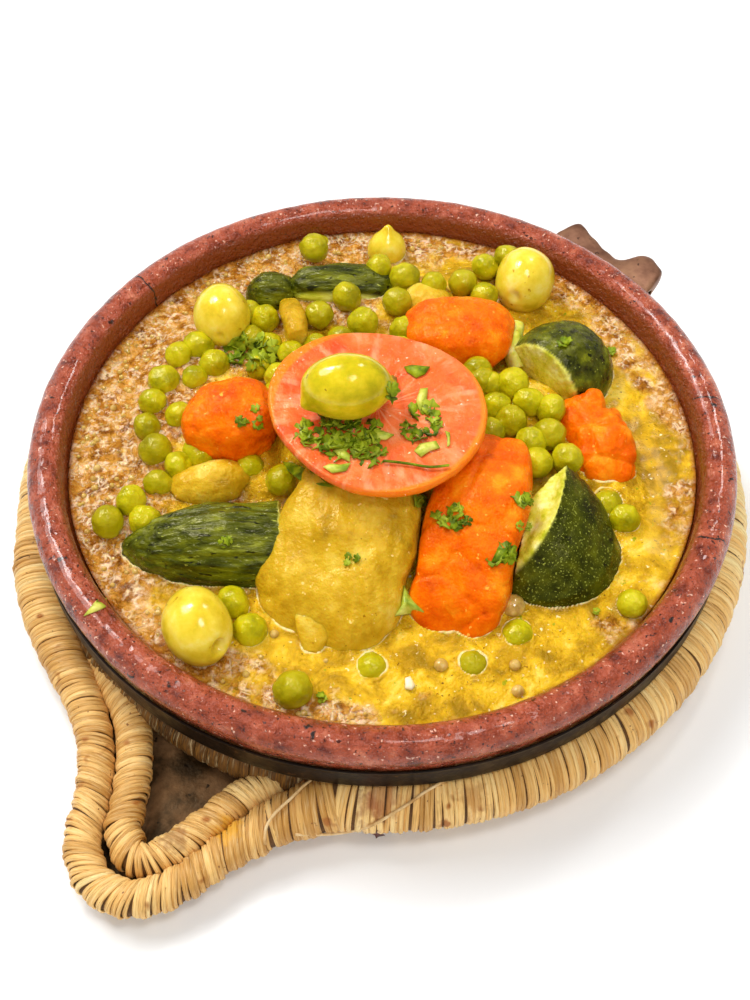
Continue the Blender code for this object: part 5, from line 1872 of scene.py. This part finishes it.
@dataclass
class Bubbles:
    """Bubbles of foam on the broth, and a few large ones where the photograph shows them.

    Attributes:
        count: How many small ones there are.
        small: Least and greatest radius of the small ones.
        near_rim: Least and greatest distance from the axis.
        heading_deg: Middle and half width of the arc where the foam lies.
        large: Pixel and radius of each large one.
    """
    count: int = 240
    small: Flat = (0.5, 1.3)
    near_rim: Flat = (62.0, 96.0)
    heading_deg: Flat = (165.0, 118.0)
    large: tuple[tuple[Flat, float], ...] = (((513, 606), 3.8), ((441, 665), 2.1), ((515, 665), 1.8),
                                             ((518, 691), 1.9), ((274, 634), 1.4), ((246, 592), 1.4))

    def build(self, camera: PhotoCamera) -> None:
        """Sets the bubbles.

        Args:
            camera: The camera through which the large ones are placed.
        """
        draw = random.Random(31)
        places = []
        for _ in range(self.count):
            reach = self.near_rim[0] + (self.near_rim[1] - self.near_rim[0]) * math.sqrt(draw.random())
            heading = math.radians(self.heading_deg[0] + self.heading_deg[1] * draw.triangular(-1, 1, 0))
            radius = draw.uniform(*self.small) * draw.uniform(0.6, 1.0)
            places.append(Place((reach * math.cos(heading), reach * math.sin(heading), SAUCE_LEVEL - 0.1 * radius),
                                (0.0, 0.0, draw.uniform(0, math.tau)), (radius,) * 3))
        for pixel, radius in self.large:
            places.append(Place(camera.seen_at(*pixel, SAUCE_LEVEL + 0.3), (0.0, 0.0, 0.0),
                                (radius, radius, 0.8 * radius)))
        bubbles = Scatter("bubbles").laid("bubbles", ball("bubble_shape", 2), places, material(BUBBLE))
        declare(bubbles, Slot.SAUCE)


@dataclass(frozen=True)
class Sprig:
    """A cluster of chopped parsley.

    Attributes:
        pixel: Its middle in the photograph.
        half_px: Its half width and half height there.
        height: The height of what carries it, about.
        count: The number of leaves.
        leaf: A leaf's length.
    """
    pixel: Flat
    half_px: Flat
    height: float
    count: int
    leaf: float = 4.6


SPRIGS = (
    Sprig((338, 438), (46, 20), 60.5, 44, 6.4), Sprig((362, 450), (24, 14), 60.5, 16, 6.0),
    Sprig((424, 424), (24, 16), 60.5, 13, 6.4),
    Sprig((392, 392), (5, 8), 60.5, 2, 6.0), Sprig((255, 352), (30, 17), 42.0, 26, 6.6),
    Sprig((451, 518), (20, 10), 52.0, 10, 5.6),
    Sprig((420, 497), (10, 6), 52.0, 3, 6.0), Sprig((523, 502), (7, 6), 46.0, 3, 6.0),
    Sprig((523, 527), (6, 6), 44.0, 3, 4.0), Sprig((502, 556), (12, 9), 38.0, 4, 5.6),
    Sprig((222, 538), (8, 6), 44.0, 3, 4.0), Sprig((250, 420), (11, 14), 48.0, 5, 4.4),
    Sprig((563, 345), (6, 6), 44.0, 2, 4.4), Sprig((353, 560), (7, 8), 46.0, 3, 4.0),
    Sprig((594, 617), (8, 6), 33.0, 2, 4.0), Sprig((322, 696), (6, 4), 33.0, 2, 4.0),
    Sprig((609, 352), (6, 4), 33.0, 2, 4.6),
)


@dataclass
class Parsley:
    """Chopped parsley leaves on top of the food.

    Attributes:
        thickness: A leaf's thickness.
    """
    thickness: float = 0.28

    def shape(self) -> Thing:
        """A curled leaf of unit length with jagged lobes."""
        outline = ((0.0, 0.02), (0.18, 0.05), (0.24, 0.3), (0.4, 0.36), (0.46, 0.2), (0.6, 0.42), (0.78, 0.34),
                   (0.8, 0.14), (1.0, 0.02), (0.82, -0.16), (0.76, -0.36), (0.6, -0.4), (0.48, -0.2), (0.38, -0.34),
                   (0.24, -0.28), (0.16, -0.05))
        count = len(outline)
        points = []
        for side in (0.5, -0.5):
            points += [(x - 0.5, y, self.curl(x, y) + side * self.thickness / 4.5) for x, y in outline]
            points.append((0.05, 0.0, self.curl(0.55, 0.0) + side * self.thickness / 4.5))
        faces = []
        for i in range(count):
            j = (i + 1) % count
            low = count + 1
            faces += [(count, i, j), (low + count, low + j, low + i), (i, low + i, low + j, j)]
        return piece_from("leaf_shape", np.array(points) / MM, faces)

    def curl(self, x: float, y: float) -> float:
        """How far a point of the leaf stands up."""
        return 0.5 * (x - 0.45) ** 2 + 0.35 * abs(y) - 0.1 + 0.08 * math.sin(9 * x)

    def build(self, ground: Ground) -> None:
        """Lays the leaves on what carries them.

        Args:
            ground: What carries them.
        """
        draw = random.Random(21)
        places = []
        for sprig in SPRIGS:
            for _ in range(sprig.count):
                angle, reach = draw.uniform(0, math.tau), math.sqrt(draw.random())
                point, normal = ground.under(sprig.pixel[0] + sprig.half_px[0] * reach * math.cos(angle),
                                             sprig.pixel[1] + sprig.half_px[1] * reach * math.sin(angle), sprig.height)
                length = sprig.leaf * draw.uniform(0.55, 1.15)
                spin, lean = draw.uniform(0, math.tau), draw.uniform(-0.5, 0.5)
                lift = draw.uniform(0.1, 0.5) + 0.9 * draw.random() * (1 - reach)
                upright = normal.lerp(Vector((0, 0, 1)), 0.3).normalized()
                turn = upright.to_track_quat("Z", "Y") @ Euler((lean, draw.uniform(-0.4, 0.4), spin)).to_quaternion()
                places.append(Place(point + upright * lift, turn.to_euler(), (length,) * 3, draw.random() ** 2))
        leaves = Scatter("parsley_leaves", tilt_deg=12.0, seed=8).laid("parsley", self.shape(), places,
                                                                       material(PARSLEY))
        declare(leaves, Slot.ZUCCHINI)


@dataclass(frozen=True)
class Scrap:
    """A single leaf or crumb, by its outline in the photograph.

    Attributes:
        name: The piece's name.
        finish: Its finish.
        outline: The pixels round it.
        height: Its height where nothing carries it.
        thickness: Its thickness.
        curl: How much its middle stands up.
        slot: The record's slot, the zucchini's green for a leaf.
    """
    name: str
    finish: Finish
    outline: tuple[Flat, ...]
    height: float = SAUCE_LEVEL
    thickness: float = 0.4
    curl: float = 0.5
    slot: Slot = Slot.ZUCCHINI

    def build(self, ground: Ground) -> None:
        """Lays the scrap.

        Args:
            ground: What carries it.
        """
        low = [ground.under(px, py, self.height)[0] + Vector((0, 0, 0.3)) for px, py in self.outline]
        middle = sum(low, Vector()) / len(low)
        rings = []
        for share, rise in ((1.0, 0.0), (0.55, 0.7), (0.2, 1.0)):
            rings.append([middle.lerp(p, share) + Vector((0, 0, rise * self.curl)) for p in low])
        count, lift = len(low), Vector((0, 0, self.thickness))
        points = [p for ring in rings for p in ring] + [p + lift for ring in rings for p in ring]
        under, over = loft_faces(3, count), loft_faces(3, count, first=3 * count)
        sides = [(i, (i + 1) % count, 3 * count + (i + 1) % count, 3 * count + i) for i in range(count)]
        ends = [tuple(range(2 * count, 3 * count)), tuple(range(5 * count, 6 * count))]
        scrap = piece_from(self.name, points, under + over + sides + ends)
        declare(dress(scrap, self.finish), self.slot)


SCRAPS = (
    Scrap("rim_leaf", PALE_LEAF, ((84, 617), (92, 607), (98, 601), (107, 599), (106, 608), (97, 612)), 41.0,
          curl=1.8),
    Scrap("scrap_on_trivet", DARK_SCRAP, ((371, 834), (375, 833), (378, 831), (381, 834), (385, 836), (379, 837),
          (376, 839), (375, 836)), 3.0, slot=Slot.TOMATO),
    Scrap("curd", CURD, ((405, 680), (410, 678), (415, 687), (412, 691), (405, 690)), thickness=0.9,
          slot=Slot.POTATO),
    Scrap("leaf_between", PALE_LEAF, ((404, 586), (409, 596), (424, 613), (408, 615), (395, 617), (401, 607)), 38.0,
          curl=1.2),
    Scrap("leaf_over_edge", PARSLEY, ((283, 463), (293, 464), (312, 473), (333, 488), (320, 486), (300, 481),
          (288, 472)), 58.0, curl=0.8),
    Scrap("pale_leaf_low", PALE_LEAF, ((323, 468), (330, 465), (342, 466), (351, 464), (346, 472), (332, 474)), 60.0),
    Scrap("pale_leaf_high", PALE_LEAF, ((333, 452), (341, 448), (350, 456), (350, 463), (341, 459)), 60.0),
    Scrap("pale_leaf_right", PALE_LEAF, ((371, 432), (382, 432), (394, 436), (386, 441), (375, 440)), 60.0),
    Scrap("leaf_at_olive", PARSLEY, ((387, 398), (388, 386), (392, 376), (397, 379), (396, 390)), 62.0, curl=1.2),
    Scrap("leaf_top", PARSLEY, ((404, 368), (412, 366), (430, 368), (425, 375), (416, 379), (407, 373)), 60.0,
          curl=1.0),
    Scrap("leaf_tall", PALE_LEAF, ((416, 402), (420, 390), (428, 389), (427, 399), (420, 413)), 60.0, curl=1.0),
    Scrap("leaf_low_right", PALE_LEAF, ((414, 452), (420, 445), (436, 442), (440, 449), (430, 452), (421, 458)), 60.0,
          curl=0.8),
    Scrap("yellow_leaf", PALE_LEAF, ((445, 432), (450, 434), (450, 446), (447, 448), (447, 439)), 60.0),
    Scrap("leaf_on_cut_face", PALE_LEAF, ((517, 506), (520, 497), (531, 492), (532, 500), (524, 510)), 44.0,
          curl=0.8),
    Scrap("leaf_on_carrot_edge", PARSLEY, ((491, 563), (497, 551), (513, 547), (515, 554), (505, 564)), 38.0,
          curl=1.2),
)


@dataclass
class Strays:
    """Loose straws over the trivet, a stem on the tomato, and single leaves and crumbs.

    Attributes:
        straws: Pixels along each straw, and its height where nothing carries it.
        stem: The same along the stem.
    """
    straws: tuple[tuple[Point, ...], ...] = (
        ((447, 780, 21.0), (436, 787, 20.0), (424, 794, 20.0), (410, 804, 18.0), (394, 814, 16.0), (371, 827, 10.0),
         (344, 834, 6.0), (318, 836, 4.0), (295, 836, 3.0)),
        ((314, 779, 15.0), (303, 788, 14.5), (292, 799, 13.0), (275, 815, 9.0), (266, 830, 6.0), (265, 848, 2.0)))
    stem: tuple[Point, ...] = ((383, 463, 61.2), (395, 464, 61.2), (410, 466, 61.2), (430, 469, 61.2), (452, 467, 61.2))

    def build(self, ground: Ground) -> None:
        """Makes the strays.

        Args:
            ground: What carries them.
        """
        strands = [(straw, 0.45, STRAW, Slot.PALM) for straw in self.straws]
        strands.append((self.stem, 0.4, PARSLEY, Slot.ZUCCHINI))
        for number, (path, radius, finish, slot) in enumerate(strands):
            points = [np.array((*(ground.under(*spot)[0] + Vector((0, 0, radius + 0.6))), radius)) for spot in path]
            strand = Coil(f"strand_{number}", through(points, 6))
            declare(strand.tube(strand.name, finish, 0.8, sides=8), slot)
        for scrap in SCRAPS:
            scrap.build(ground)


class Studio:
    """Pale floor, soft light and the view transform that keeps colours as they are."""

    def lamp(self, name: str, kind: str, place: Point, strength: float, aim: Point = (0.0, 0.0, 0.0),
             **settings: float) -> Thing:
        """Adds a soft light.

        Args:
            name: Its name.
            kind: AREA for a lamp, SUN for broad even light as from a window.
            place: Where it is, in metres, or the direction to it.
            strength: Its strength.
            aim: What it points at.
            **settings: The light's own size or angle.

        Returns:
            The light's object.
        """
        data = bpy.data.lights.new(name, kind)
        data.energy = strength
        for key, value in settings.items():
            setattr(data, key, value)
        lamp = linked(name, data)
        lamp.location = place
        lamp.rotation_euler = (Vector(place) - Vector(aim)).to_track_quat("Z", "Y").to_euler()
        return lamp

    def build(self) -> None:
        """Lays the floor and sets the lights."""
        size, depth = 4000.0, 20.0
        square = ((-size, -size), (size, -size), (size, size), (-size, size))
        corners = [(x, y, z) for z in (0.0, -depth) for x, y in square]
        faces = [(0, 1, 2, 3), (7, 6, 5, 4), (0, 4, 5, 1), (1, 5, 6, 2), (2, 6, 7, 3), (3, 7, 4, 0)]
        floor = piece_from("floor", corners, faces)
        dress(floor, FLOOR)
        self.lamp("window_light", "SUN", (-0.48, 0.42, 0.78), 1.6, angle=math.radians(26.0))
        fill = self.lamp("front_fill", "SUN", (0.12, -0.75, 0.65), 1.05, angle=math.radians(60.0))
        fill.visible_glossy = False
        dish = (0.0, 0.0, 0.03)
        self.lamp("left_lamp", "AREA", (-0.32, 0.42, 0.75), 2.4, dish, size=0.16)
        self.lamp("right_lamp", "AREA", (0.30, 0.52, 0.70), 1.2, dish, size=0.12)
        self.lamp("top_lamp", "AREA", (0.14, -0.14, 0.82), 1.6, dish, size=0.2)
        world = bpy.data.worlds.new("soft_room")
        world.use_nodes = True
        back = world.node_tree.nodes["Background"]
        back.inputs["Color"].default_value = linear("#fffaf2")
        back.inputs["Strength"].default_value = 0.32
        bpy.context.scene.world = world
        bpy.context.scene.view_settings.view_transform = "Standard"


def main() -> None:
    """Builds every part of the object in order, from the floor up."""
    logging.basicConfig(level=logging.INFO, format="%(name)s %(message)s")
    camera = PhotoCamera()
    camera.build()
    Studio().build()
    LeatherBase().build()
    holders = PalmTrivet().build()
    holders.append(ClayDish().build())
    SheetHoop().build()
    carriers = [bar.build() for bar in BARS]
    carriers += [piece.build() for piece in COPIES]
    carriers += [olive.build() for olive in OLIVES]
    carriers.append(TomatoSlice().build())
    carriers.append(Peas().build(camera))
    carriers.append(StewBroth().build(carriers))
    Bubbles().build(camera)
    ground = Ground(camera, carriers + holders)
    Parsley().build(ground)
    Strays().build(ground)


if __name__ == "__main__":
    main()
